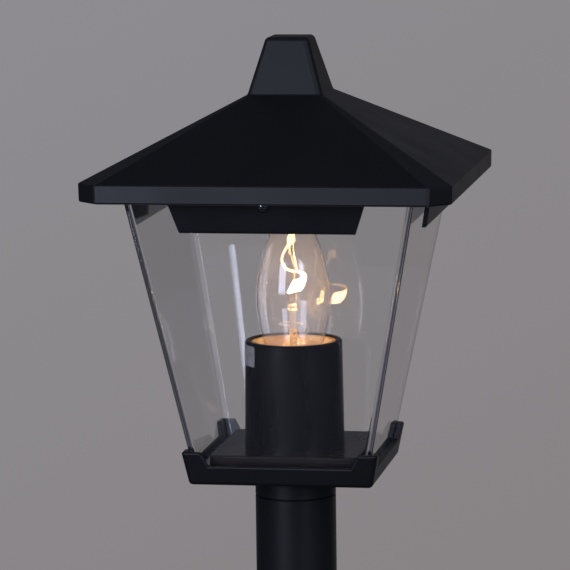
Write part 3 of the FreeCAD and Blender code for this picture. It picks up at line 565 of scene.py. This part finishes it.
@dataclass
class Studio:
    """Floor, surroundings and lights.

    The walls are colours round the lamp's X axis, by degrees from straight up towards the back. A span is
    the stretch of a direction's component over which one thing fades into another.
    """

    backdrop_low: str = "#888385"
    backdrop_high: str = "#8e8c91"
    backdrop_lean: Triple = (-0.45, 0.0, 0.85)
    backdrop_span: Pair = (-0.134, 0.051)
    behind_span: Pair = (0.75, 0.97)
    horizon_span: Pair = (-0.14, -0.05)
    walls: tuple[tuple[float, str], ...] = (
        (-119.0, "#22242c"),
        (-98.0, "#2b2e38"),
        (-86.0, "#3a3e4a"),
        (-65.0, "#828aa2"),
        (-40.0, "#6a7084"),
        (0.0, "#363944"),
        (27.0, "#292c35"),
        (50.0, "#3b3e48"),
        (105.0, "#33363f"),
        (160.0, "#2a2c34"),
    )
    floor_radius_m: float = 2.2
    floor_fade_m: float = 0.9
    floor_sides: int = 128
    ambient: float = 0.5
    mirrored: float = 0.8
    mirrored_above: float = 0.45
    aim_mm: Triple = (0.0, 0.0, 690.0)
    softboxes: tuple[Softbox, ...] = (
        Softbox(
            "softbox_left", azimuth=-26.0, elevation=11.0, distance_m=2.0, size_m=(0.78, 0.80), watts=12.5
        ),
        Softbox(
            "softbox_right", azimuth=40.0, elevation=15.0, distance_m=2.2, size_m=(0.60, 0.78), watts=9.1
        ),
    )

    def build(self) -> None:
        """Makes the surroundings, the floor and the lights."""
        self.surroundings()
        self.floor()
        for box in self.softboxes:
            box.build(Vector(self.aim_mm) * MM)

    def surroundings(self) -> None:
        """Grey backdrop to look at; mirrors see it straight behind the lamp and a dim room elsewhere."""
        world = bpy.data.worlds.new("studio")
        bpy.context.scene.world = world
        world.use_nodes = True
        world.cycles.sampling_method = "NONE"
        tree = world.node_tree
        tree.nodes.clear()
        view = add_node(tree, "ShaderNodeTexCoord").outputs["Generated"]
        backdrop = self.backdrop(tree, view)
        white = {"Color": linear("#ffffff"), "Strength": self.ambient}
        fill = add_node(tree, "ShaderNodeBackground", white)
        seen = add_node(tree, "ShaderNodeBackground", {}, {"Color": backdrop})
        mirror = add_node(tree, "ShaderNodeBackground", {}, {"Color": self.room(tree, view, backdrop)})
        ray = add_node(tree, "ShaderNodeLightPath").outputs
        direct = add_node(tree, "ShaderNodeMath", {"operation": "MAXIMUM"})
        tree.links.new(ray["Is Camera Ray"], direct.inputs[0])
        tree.links.new(ray["Is Transmission Ray"], direct.inputs[1])
        looked = add_node(tree, "ShaderNodeMixShader", {}, {"Fac": direct.outputs["Value"]})
        tree.links.new(fill.outputs["Background"], looked.inputs[1])
        tree.links.new(seen.outputs["Background"], looked.inputs[2])
        whole = add_node(tree, "ShaderNodeMixShader", {}, {"Fac": ray["Glossy Depth"]})
        tree.links.new(looked.outputs["Shader"], whole.inputs[1])
        tree.links.new(mirror.outputs["Background"], whole.inputs[2])
        add_node(tree, "ShaderNodeOutputWorld", {}, {"Surface": whole.outputs["Shader"]})

    def backdrop(self, tree: NodeTree, view: NodeSocket) -> NodeSocket:
        """Adds the backdrop's grey, slightly lighter to the upper left.

        Args:
            tree: the world's nodes.
            view: the direction that is looked in.

        Returns:
            The backdrop's colour.
        """
        lean = add_node(tree, "ShaderNodeVectorMath", {"operation": "DOT_PRODUCT"}, {"Vector": view})
        lean.inputs[1].default_value = self.backdrop_lean
        return add_node(
            tree,
            "ShaderNodeMix",
            {"data_type": "RGBA", "A": linear(self.backdrop_low), "B": linear(self.backdrop_high)},
            {"Factor": remap(tree, lean.outputs["Value"], self.backdrop_span)},
        ).outputs["Result"]

    def room(self, tree: NodeTree, view: NodeSocket, backdrop: NodeSocket) -> NodeSocket:
        """Adds the room that mirrors see: the backdrop straight behind, dim walls and ceiling elsewhere.

        Args:
            tree: the world's nodes.
            view: the direction that is looked in.
            backdrop: the backdrop's colour.

        Returns:
            The room's colour.
        """
        axes = add_node(tree, "ShaderNodeSeparateXYZ", {}, {"Vector": view}).outputs
        over = add_node(tree, "ShaderNodeMath", {"operation": "ARCTAN2"})
        tree.links.new(axes["Y"], over.inputs[0])
        tree.links.new(axes["Z"], over.inputs[1])
        turn = remap(tree, over.outputs["Value"], (-math.pi, math.pi))
        walls = add_node(tree, "ShaderNodeValToRGB", {}, {"Fac": turn})
        stops = walls.color_ramp.elements
        for angle, colour in self.walls:
            stops.new(0.5 + angle / 360).color = linear(colour)
        for spare in (stops[-1], stops[0]):
            stops.remove(spare)
        behind = remap(tree, axes["Y"], self.behind_span)
        shares = (self.mirrored, self.mirrored * self.mirrored_above)
        low = remap(tree, axes["Z"], self.horizon_span, shares)
        where = add_node(tree, "ShaderNodeMath", {"operation": "MULTIPLY"})
        tree.links.new(behind, where.inputs[0])
        tree.links.new(low, where.inputs[1])
        return add_node(
            tree,
            "ShaderNodeMix",
            {"data_type": "RGBA"},
            {"Factor": where.outputs["Value"], "A": walls.outputs["Color"], "B": backdrop},
        ).outputs["Result"]

    def floor(self) -> None:
        """Plain pale round floor that fades out into the backdrop."""
        bpy.ops.mesh.primitive_circle_add(
            vertices=self.floor_sides, radius=self.floor_radius_m, fill_type="NGON"
        )
        floor = bpy.context.object
        floor.name = "floor"
        floor.visible_glossy = False
        material = FLOOR_PAPER.material()
        tree = material.node_tree
        shader = tree.nodes["Principled BSDF"]
        place = add_node(tree, "ShaderNodeTexCoord").outputs["Object"]
        far = add_node(tree, "ShaderNodeVectorMath", {"operation": "LENGTH"}, {"Vector": place})
        rim = (self.floor_radius_m - self.floor_fade_m, self.floor_radius_m)
        fade = remap(tree, far.outputs["Value"], rim, (1.0, 0.0))
        tree.links.new(fade, shader.inputs["Alpha"])
        floor.data.materials.append(material)


@dataclass
class DressedFrame:
    """The frame's own pieces with their finishes."""

    nodes: dict[str, Object]

    def dress(self) -> None:
        """Gives each piece its material, and lets light pass the clear ones without a shadow."""
        for name, finish in DRESS.items():
            piece = self.nodes[name]
            piece.data.materials.clear()
            piece.data.materials.append(finish.material())
            piece.visible_shadow = name not in CLEAR_NODES
            LOG.info("dressed %s in %s", name, finish.name)


def stand(piece: Object, finish: Finish, body: Body, node: str | None = None) -> Object:
    """Gives a new piece its finish and its body, and hides the frame's own piece that it stands for.

    Args:
        piece: the new object.
        finish: what it is made of.
        body: the body that carries it.
        node: the frame's own piece that it stands for, if any.

    Returns:
        The same object.
    """
    piece.data.materials.append(finish.material())
    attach(piece, body.value)
    if node:
        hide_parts(node)
    LOG.info("made %s on the %s", piece.name, body.value)
    return piece


def mesh_piece(name: str, shape: bmesh.types.BMesh, smooth: bool = True) -> Object:
    """Turns a finished shape into an object at the origin.

    Args:
        name: the piece's name.
        shape: its mesh, which is freed.
        smooth: whether its faces are shaded smooth.

    Returns:
        The object, linked to the scene.
    """
    mesh = bpy.data.meshes.new(name)
    for face in shape.faces:
        face.smooth = smooth
    shape.to_mesh(mesh)
    shape.free()
    piece = bpy.data.objects.new(name, mesh)
    bpy.context.scene.collection.objects.link(piece)
    return piece


def cut_away(blank: Object, tool: Object) -> bmesh.types.BMesh:
    """Cuts one shape out of another and removes both objects.

    Args:
        blank: the object that is cut.
        tool: the object that is taken away from it.

    Returns:
        What is left of the blank.
    """
    cut = blank.modifiers.new("cut", "BOOLEAN")
    cut.object = tool
    cut.operation = "DIFFERENCE"
    cut.solver = "EXACT"
    cut.use_self = True
    bpy.context.view_layer.update()
    made = bpy.data.meshes.new_from_object(blank.evaluated_get(bpy.context.evaluated_depsgraph_get()))
    shape = bmesh.new()
    shape.from_mesh(made)
    bpy.data.meshes.remove(made)
    for spare in (blank, tool):
        mesh = spare.data
        bpy.data.objects.remove(spare)
        bpy.data.meshes.remove(mesh)
    return shape


def wire_piece(name: str, routes: list[list[Vector]], thickness_mm: float, smooth: bool) -> Object:
    """Makes round wires along routes.

    Args:
        name: the piece's name.
        routes: the points of each wire in metres.
        thickness_mm: the wire's diameter.
        smooth: whether the points steer a smooth line, or are the line itself.

    Returns:
        The curve object, linked to the scene.
    """
    curve = bpy.data.curves.new(name, "CURVE")
    curve.dimensions = "3D"
    curve.bevel_depth = thickness_mm * MM / 2
    curve.bevel_resolution = 2
    curve.use_fill_caps = True
    curve.resolution_u = 8
    for route in routes:
        spline = curve.splines.new("NURBS" if smooth else "POLY")
        spline.points.add(len(route) - 1)
        for point, place in zip(spline.points, route):
            point.co = (*place, 1.0)
        if smooth:
            spline.order_u = 3
            spline.use_endpoint_u = True
    piece = bpy.data.objects.new(name, curve)
    bpy.context.scene.collection.objects.link(piece)
    return piece


@dataclass
class LitBulb:
    """What glows and shines inside the bulb: the coiled filament, its wires and its light.

    Places are in mm from the bulb's axis and the cap's top. The knot and the stroke, where the coil is
    bunched, are shares of its length, and the lead-in wires' flare is a share of their height.
    """

    cap_top_mm: float = 653.0
    route: tuple[Triple, ...] = (
        (0.4, -0.8, 55.4),
        (-0.6, -1.2, 52.2),
        (-3.4, -2.4, 48.0),
        (-5.0, -3.6, 43.6),
        (-2.6, -4.6, 39.2),
        (2.8, -5.4, 38.4),
        (6.8, -5.8, 38.0),
        (7.0, -6.0, 35.4),
        (4.4, -6.0, 33.0),
        (1.4, -5.0, 30.8),
        (-2.2, -0.8, 27.6),
    )
    route_steps: int = 40
    turn_mm: float = 0.62
    wire_mm: float = 0.34
    thin_mm: float = 0.42
    thick_mm: float = 2.9
    steps: int = 9
    knot_at: float = 0.06
    knot_reach: float = 0.07
    knot_fullness: float = 0.7
    stroke_from: float = 0.68
    stroke_rise: float = 0.12
    stroke_fall: float = 0.18
    lead_mm: float = 0.85
    twist_mm: float = 1.25
    twists: float = 4.0
    twist_steps: int = 96
    twist_foot_mm: float = -7.0
    twist_height_mm: float = 17.5
    flare: float = 1.6
    flare_share: float = 0.35
    anchor_mm: float = 0.5
    anchors: tuple[tuple[Triple, ...], ...] = (
        ((-1.2, -1.0, 14.2), (-4.6, -1.6, 14.0), (-7.0, -1.8, 13.1), (-4.8, -1.6, 12.5), (-1.2, -1.0, 13.0)),
        ((1.2, -1.0, 13.8), (4.4, -1.4, 13.6), (7.2, -1.6, 12.2), (7.6, -1.4, 9.4), (4.6, -1.0, 7.8)),
    )
    light_at_mm: Triple = (2.5, -5.0, 32.0)
    light_colour: str = "#ffbe74"
    watts: float = 0.05
    spread_mm: float = 5.0

    def build(self) -> None:
        """Makes the coil, the wires and the light."""
        self.coil()
        self.leads()
        self.light()

    def place(self, x: float, y: float, height: float) -> Vector:
        """Turns a place above the cap into metres."""
        return Vector((x, y, self.cap_top_mm + height)) * MM

    def coil(self) -> Object:
        """Winds the filament round its route, wide where it is brightest.

        Returns:
            The filament.
        """
        points = self.centre_line()
        lengths = [0.0]
        for a, b in zip(points, points[1:]):
            lengths.append(lengths[-1] + (b - a).length)
        total = lengths[-1]
        count = round(total / (self.turn_mm * MM)) * self.steps
        across = Vector((0.0, 1.0, 0.0))
        winding = []
        span = 0
        for i in range(count + 1):
            along = total * i / count
            while lengths[span + 1] < along and span < len(points) - 2:
                span += 1
            part = (along - lengths[span]) / (lengths[span + 1] - lengths[span])
            centre = points[span].lerp(points[span + 1], part)
            ahead = (points[span + 1] - points[span]).normalized()
            over = ahead.cross(across)
            angle = 2 * math.pi * i / self.steps
            radius = self.radius(along / total) * MM
            winding.append(centre + (across * math.cos(angle) + over * math.sin(angle)) * radius)
        piece = wire_piece("filament_coil", [winding], self.wire_mm, smooth=False)
        return stand(piece, TUNGSTEN, Body.BULB, "bulb_filament")

    def centre_line(self) -> list[Vector]:
        """Draws the smooth line that the coil is wound round.

        Returns:
            Its points in metres, from the top end to the foot.
        """
        guide = wire_piece("filament_route", [[self.place(*p) for p in self.route]], 0.0, smooth=True)
        guide.data.resolution_u = self.route_steps
        line = bpy.data.meshes.new_from_object(guide)
        points = [v.co.copy() for v in line.vertices]
        bpy.data.objects.remove(guide)
        bpy.data.meshes.remove(line)
        return points

    def radius(self, share: float) -> float:
        """Gives the coil's radius along its length: bunched at the top end and along the lower stroke.

        Args:
            share: the place, from 0 at the top end to 1 at the foot.

        Returns:
            The radius in mm.
        """
        knot = max(0.0, 1.0 - abs(share - self.knot_at) / self.knot_reach) * self.knot_fullness
        rise = min(1.0, max(0.0, (share - self.stroke_from) / self.stroke_rise))
        fall = min(1.0, (1.0 - share) / self.stroke_fall)
        return self.thin_mm + (self.thick_mm - self.thin_mm) * max(knot, rise * fall)

    def leads(self) -> None:
        """Twists the lead-in wires up the stem, with the two spare ends that curl out of it."""
        strands = []
        for start in (0.0, math.pi):
            strand = []
            for i in range(self.twist_steps + 1):
                part = i / self.twist_steps
                angle = start + 2 * math.pi * self.twists * part
                out = self.twist_mm * (1.0 + self.flare * max(0.0, self.flare_share - part))
                height = self.twist_foot_mm + self.twist_height_mm * part
                strand.append(self.place(out * math.cos(angle), out * math.sin(angle), height))
            strands.append(strand)
        twisted = wire_piece("bulb_lead_in_wires", strands, self.lead_mm, smooth=False)
        stand(twisted, COPPER, Body.BULB)
        tails = [[self.place(*p) for p in anchor] for anchor in self.anchors]
        curled = wire_piece("bulb_anchor_wires", tails, self.anchor_mm, smooth=True)
        stand(curled, MOLYBDENUM, Body.BULB)

    def light(self) -> None:
        """Sends the filament's warm light to what stands round it."""
        data = bpy.data.lights.new("filament_light", "POINT")
        data.energy = self.watts
        data.color = linear(self.light_colour)[:3]
        data.shadow_soft_size = self.spread_mm * MM
        light = bpy.data.objects.new("filament_light", data)
        light.location = self.place(*self.light_at_mm)
        for ray in ("camera", "glossy", "transmission"):
            setattr(light, f"visible_{ray}", False)
        bpy.context.scene.collection.objects.link(light)


@dataclass
class DomeScrews:
    """A set of dome-headed screws with a cross recess, driven from outside.

    The recess's width is a share of the head's. Its tool's height is a share of the dome's rise, and half
    of it stands above the dome.
    """

    name: str
    node: str
    places: list[Matrix]
    head_mm: float
    rise_mm: float
    shank_mm: float
    length_mm: float
    slot_mm: float = 0.7
    recess_width: float = 0.56
    recess_tool: float = 1.1
    dome_steps: int = 12
    segments: int = 44
    sharp_angle: float = 40.0

    def build(self) -> Object:
        """Makes the set as one piece.

        Returns:
            The screws.
        """
        whole = bmesh.new()
        for place in self.places:
            one = self.screw()
            one.transform(place)
            whole.from_mesh(one)
            bpy.data.meshes.remove(one)
        piece = mesh_piece(self.name, whole)
        piece.data.set_sharp_from_angle(angle=math.radians(self.sharp_angle))
        return stand(piece, POLISHED_ZINC, Body.LAMP, self.node)

    def screw(self) -> Mesh:
        """Makes one screw along +Z, its head's underside at the origin.

        Returns:
            The screw's mesh in metres.
        """
        shape = cut_away(self.blank(), self.recess())
        bmesh.ops.scale(shape, vec=(MM, MM, MM), verts=shape.verts)
        made = bpy.data.meshes.new(self.name)
        shape.to_mesh(made)
        shape.free()
        return made

    def blank(self) -> Object:
        """Turns the screw without its recess.

        Returns:
            The blank in mm.
        """
        half = self.head_mm / 2
        ball = (half**2 + self.rise_mm**2) / (2 * self.rise_mm)
        shape = bmesh.new()
        top = shape.verts.new((0.0, 0.0, self.rise_mm))
        bmesh.ops.spin(
            shape,
            geom=[top],
            cent=(0.0, 0.0, self.rise_mm - ball),
            axis=(0.0, 1.0, 0.0),
            angle=math.atan2(half, ball - self.rise_mm),
            steps=self.dome_steps,
            use_merge=False,
            use_duplicate=False,
        )
        rim = max(shape.verts, key=lambda v: v.co.x)
        seat = shape.verts.new((self.shank_mm / 2, 0.0, rim.co.z))
        foot = shape.verts.new((self.shank_mm / 2, 0.0, -self.length_mm))
        end = shape.verts.new((0.0, 0.0, -self.length_mm))
        for a, b in ((rim, seat), (seat, foot), (foot, end)):
            shape.edges.new((a, b))
        bmesh.ops.spin(
            shape,
            geom=shape.verts[:] + shape.edges[:],
            cent=(0.0, 0.0, 0.0),
            axis=(0.0, 0.0, 1.0),
            angle=2 * math.pi,
            steps=self.segments,
            use_merge=True,
        )
        bmesh.ops.remove_doubles(shape, verts=shape.verts, dist=MERGE_MM)
        bmesh.ops.recalc_face_normals(shape, faces=shape.faces)
        return mesh_piece("screw_blank", shape)

    def recess(self) -> Object:
        """Makes the cross that is cut out of the head.

        Returns:
            The cross in mm, as one closed shape.
        """
        reach = (self.head_mm * self.recess_width - self.slot_mm) / 2
        cross = bmesh.new()
        bmesh.ops.create_cube(cross, size=1.0)
        middle = (self.slot_mm, self.slot_mm, self.rise_mm * self.recess_tool)
        bmesh.ops.scale(cross, vec=middle, verts=cross.verts)
        cross.normal_update()
        sides = [face for face in cross.faces if abs(face.normal.z) < 0.5]
        for arm in bmesh.ops.extrude_discrete_faces(cross, faces=sides)["faces"]:
            arm.normal_update()
            bmesh.ops.translate(cross, vec=arm.normal * reach, verts=arm.verts)
        bmesh.ops.translate(cross, vec=(0.0, 0.0, self.rise_mm), verts=cross.verts)
        bmesh.ops.remove_doubles(cross, verts=cross.verts, dist=MERGE_MM)
        bmesh.ops.recalc_face_normals(cross, faces=cross.faces)
        return mesh_piece("screw_recess", cross, smooth=False)


@dataclass
class SleeveLabel:
    """The small blank film label on the sleeve's side."""

    low_mm: float = 647.6
    high_mm: float = 657.3
    first_angle: float = -80.0
    last_angle: float = -43.5
    radius_mm: float = 22.97
    lean: float = -0.0131
    film_mm: float = 0.12
    corner_mm: float = 1.0
    corner_steps: int = 5
    strips: int = 20

    def build(self) -> Object:
        """Makes the label, bent round the sleeve.

        Returns:
            The label.
        """
        width = math.radians(self.last_angle - self.first_angle) * self.radius_mm
        tall = self.high_mm - self.low_mm
        shape = bmesh.new()
        corners = bmesh.ops.create_grid(shape, x_segments=1, y_segments=1, size=0.5)["verts"]
        bmesh.ops.scale(shape, vec=(width, tall, 1.0), verts=corners)
        bmesh.ops.bevel(
            shape,
            geom=shape.verts[:],
            offset=self.corner_mm,
            segments=self.corner_steps,
            profile=0.5,
            affect="VERTICES",
            material=-1,
        )
        for i in range(1, self.strips):
            cut = width * (i / self.strips - 0.5)
            bmesh.ops.bisect_plane(
                shape,
                geom=shape.verts[:] + shape.edges[:] + shape.faces[:],
                plane_co=(cut, 0.0, 0.0),
                plane_no=(1.0, 0.0, 0.0),
            )
        bmesh.ops.solidify(shape, geom=shape.faces[:], thickness=self.film_mm)
        bmesh.ops.recalc_face_normals(shape, faces=shape.faces)
        lowest = min(v.co.z for v in shape.verts)
        middle = math.radians(self.first_angle + self.last_angle) / 2
        for vert in shape.verts:
            height = vert.co.y + (self.low_mm + self.high_mm) / 2
            radius = self.radius_mm + self.lean * (height - self.low_mm) + vert.co.z - lowest
            angle = middle + vert.co.x / self.radius_mm
            vert.co = Vector((radius * math.sin(angle), -radius * math.cos(angle), height)) * MM
        piece = mesh_piece("sleeve_label", shape, smooth=False)
        return stand(piece, LABEL_FILM, Body.LAMP)


@dataclass
class ShadeShell:
    """The clear shade with softly rounded corners.

    A seam is the narrow strip beside each corner that keeps the flat wall's shading flat.
    """

    foot_mm: float = 600.9
    floor_mm: float = 603.3
    top_mm: float = 743.9
    foot_half_mm: float = 40.8
    top_half_mm: float = 69.0
    wall_mm: float = 1.5
    flange_mm: float = 9.9
    outer_corner_mm: float = 2.2
    inner_corner_mm: float = 2.2
    corner_steps: int = 12
    seam_mm: float = 0.05
    hole_mm: float = 4.4
    hole_reach_mm: float = 6.0
    hole_segments: int = 32
    sharp_angle: float = 30.0

    def build(self) -> Object:
        """Lofts the shell through its six square rings and drills it for the roof's screws.

        Returns:
            The shade.
        """
        slope = (self.top_half_mm - self.foot_half_mm) / (self.top_mm - self.foot_mm)
        floor_half = self.foot_half_mm + slope * (self.floor_mm - self.foot_mm) - self.wall_mm
        window_half = self.foot_half_mm - self.wall_mm - self.flange_mm
        rings = [
            (self.foot_half_mm, self.outer_corner_mm, self.foot_mm),
            (self.top_half_mm, self.outer_corner_mm, self.top_mm),
            (self.top_half_mm - self.wall_mm, self.inner_corner_mm, self.top_mm),
            (floor_half, self.inner_corner_mm, self.floor_mm),
            (window_half, self.inner_corner_mm, self.floor_mm),
            (window_half, self.inner_corner_mm, self.foot_mm),
        ]
        shape = bmesh.new()
        loops = [self.ring(shape, *ring) for ring in rings]
        for first, second in zip(loops, loops[1:] + loops[:1]):
            bmesh.ops.bridge_loops(shape, edges=first + second)
        bmesh.ops.recalc_face_normals(shape, faces=shape.faces)
        shape = cut_away(mesh_piece("shade_blank", shape), self.drill())
        bmesh.ops.scale(shape, vec=(MM, MM, MM), verts=shape.verts)
        piece = mesh_piece("shade_shell", shape)
        piece.data.set_sharp_from_angle(angle=math.radians(self.sharp_angle))
        piece.visible_shadow = False
        return stand(piece, CLEAR_PLASTIC, Body.LAMP, "shade")

    def drill(self) -> Object:
        """Makes the four pins that stand for the screws' holes.

        Returns:
            The pins as one object, in mm.
        """
        pins = bmesh.new()
        for place in Fasteners().wall_places(1.0):
            bmesh.ops.create_cone(
                pins,
                cap_ends=True,
                segments=self.hole_segments,
                radius1=self.hole_mm / 2,
                radius2=self.hole_mm / 2,
                depth=self.hole_reach_mm,
                matrix=place @ Matrix.Translation((0.0, 0.0, -self.hole_reach_mm)),
            )
        return mesh_piece("shade_drill", pins, smooth=False)

    def ring(
        self, shape: bmesh.types.BMesh, half: float, corner: float, level: float
    ) -> list[bmesh.types.BMEdge]:
        """Draws one square ring with round corners.

        Args:
            shape: the mesh that gets it.
            half: half its width in mm.
            corner: the radius of its corners in mm.
            level: its height in mm.

        Returns:
            Its edges.
        """
        verts = []
        for quarter in range(4):
            turn = Matrix.Rotation(math.pi / 2 * quarter, 4, "Z")
            inset = half - corner
            outline = [Vector((half, inset - self.seam_mm, level))]
            for i in range(self.corner_steps + 1):
                angle = math.pi / 2 * i / self.corner_steps
                x, y = inset + corner * math.cos(angle), inset + corner * math.sin(angle)
                outline.append(Vector((x, y, level)))
            outline.append(Vector((inset - self.seam_mm, half, level)))
            verts += [shape.verts.new(turn @ point) for point in outline]
        return [shape.edges.new(pair) for pair in zip(verts, verts[1:] + verts[:1])]


@dataclass
class Fasteners:
    """The screws that show: one in each skirt, and two at the back of the post."""

    wall_tilt: float = 11.156
    seat_mm: Triple = (-1.2, -71.112, 729.764)
    post_seat_mm: float = 19.1
    post_height_mm: float = 570.0
    post_angles: Pair = (45.0, 135.0)

    def build(self) -> None:
        """Makes both sets."""
        DomeScrews(
            "roof_screw_set",
            "roof_screws",
            self.wall_places(MM),
            head_mm=5.8,
            rise_mm=1.7,
            shank_mm=4.0,
            length_mm=6.3,
        ).build()
        out = Matrix.Translation((self.post_seat_mm * MM, 0.0, self.post_height_mm * MM))
        out = out @ Matrix.Rotation(math.radians(90), 4, "Y")
        round_post = [Matrix.Rotation(math.radians(a), 4, "Z") @ out for a in self.post_angles]
        DomeScrews(
            "head_screw_set",
            "head_screws",
            round_post,
            head_mm=7.0,
            rise_mm=2.7,
            shank_mm=4.0,
            length_mm=4.7,
        ).build()

    def wall_places(self, unit: float) -> list[Matrix]:
        """Sets a screw square to each leaning wall, pointing outwards.

        Args:
            unit: the length that a mm has in the places.

        Returns:
            The place of each screw's head.
        """
        tip = Matrix.Translation(Vector(self.seat_mm) * unit)
        tip = tip @ Matrix.Rotation(math.radians(90 + self.wall_tilt), 4, "X")
        return [Matrix.Rotation(math.radians(90 * side), 4, "Z") @ tip for side in range(4)]


def main() -> None:
    """Loads the frame, dresses it and sets the studio round it."""
    logging.basicConfig(level=logging.INFO, format="%(name)s: %(message)s")
    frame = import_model()
    bpy.context.scene.view_settings.view_transform = "Standard"
    bpy.context.scene.cycles.max_bounces = CLEAR_BOUNCES
    bpy.context.scene.cycles.glossy_bounces = GLOSSY_BOUNCES
    bpy.context.scene.cycles.transmission_bounces = CLEAR_BOUNCES
    # A clamp would dim the filament's mirror images
    bpy.context.scene.cycles.sample_clamp_indirect = 0.0
    DressedFrame(frame["nodes"]).dress()
    LitBulb().build()
    Fasteners().build()
    SleeveLabel().build()
    ShadeShell().build()
    Studio().build()
    PhotoCamera().build()


if __name__ == "__main__":
    main()
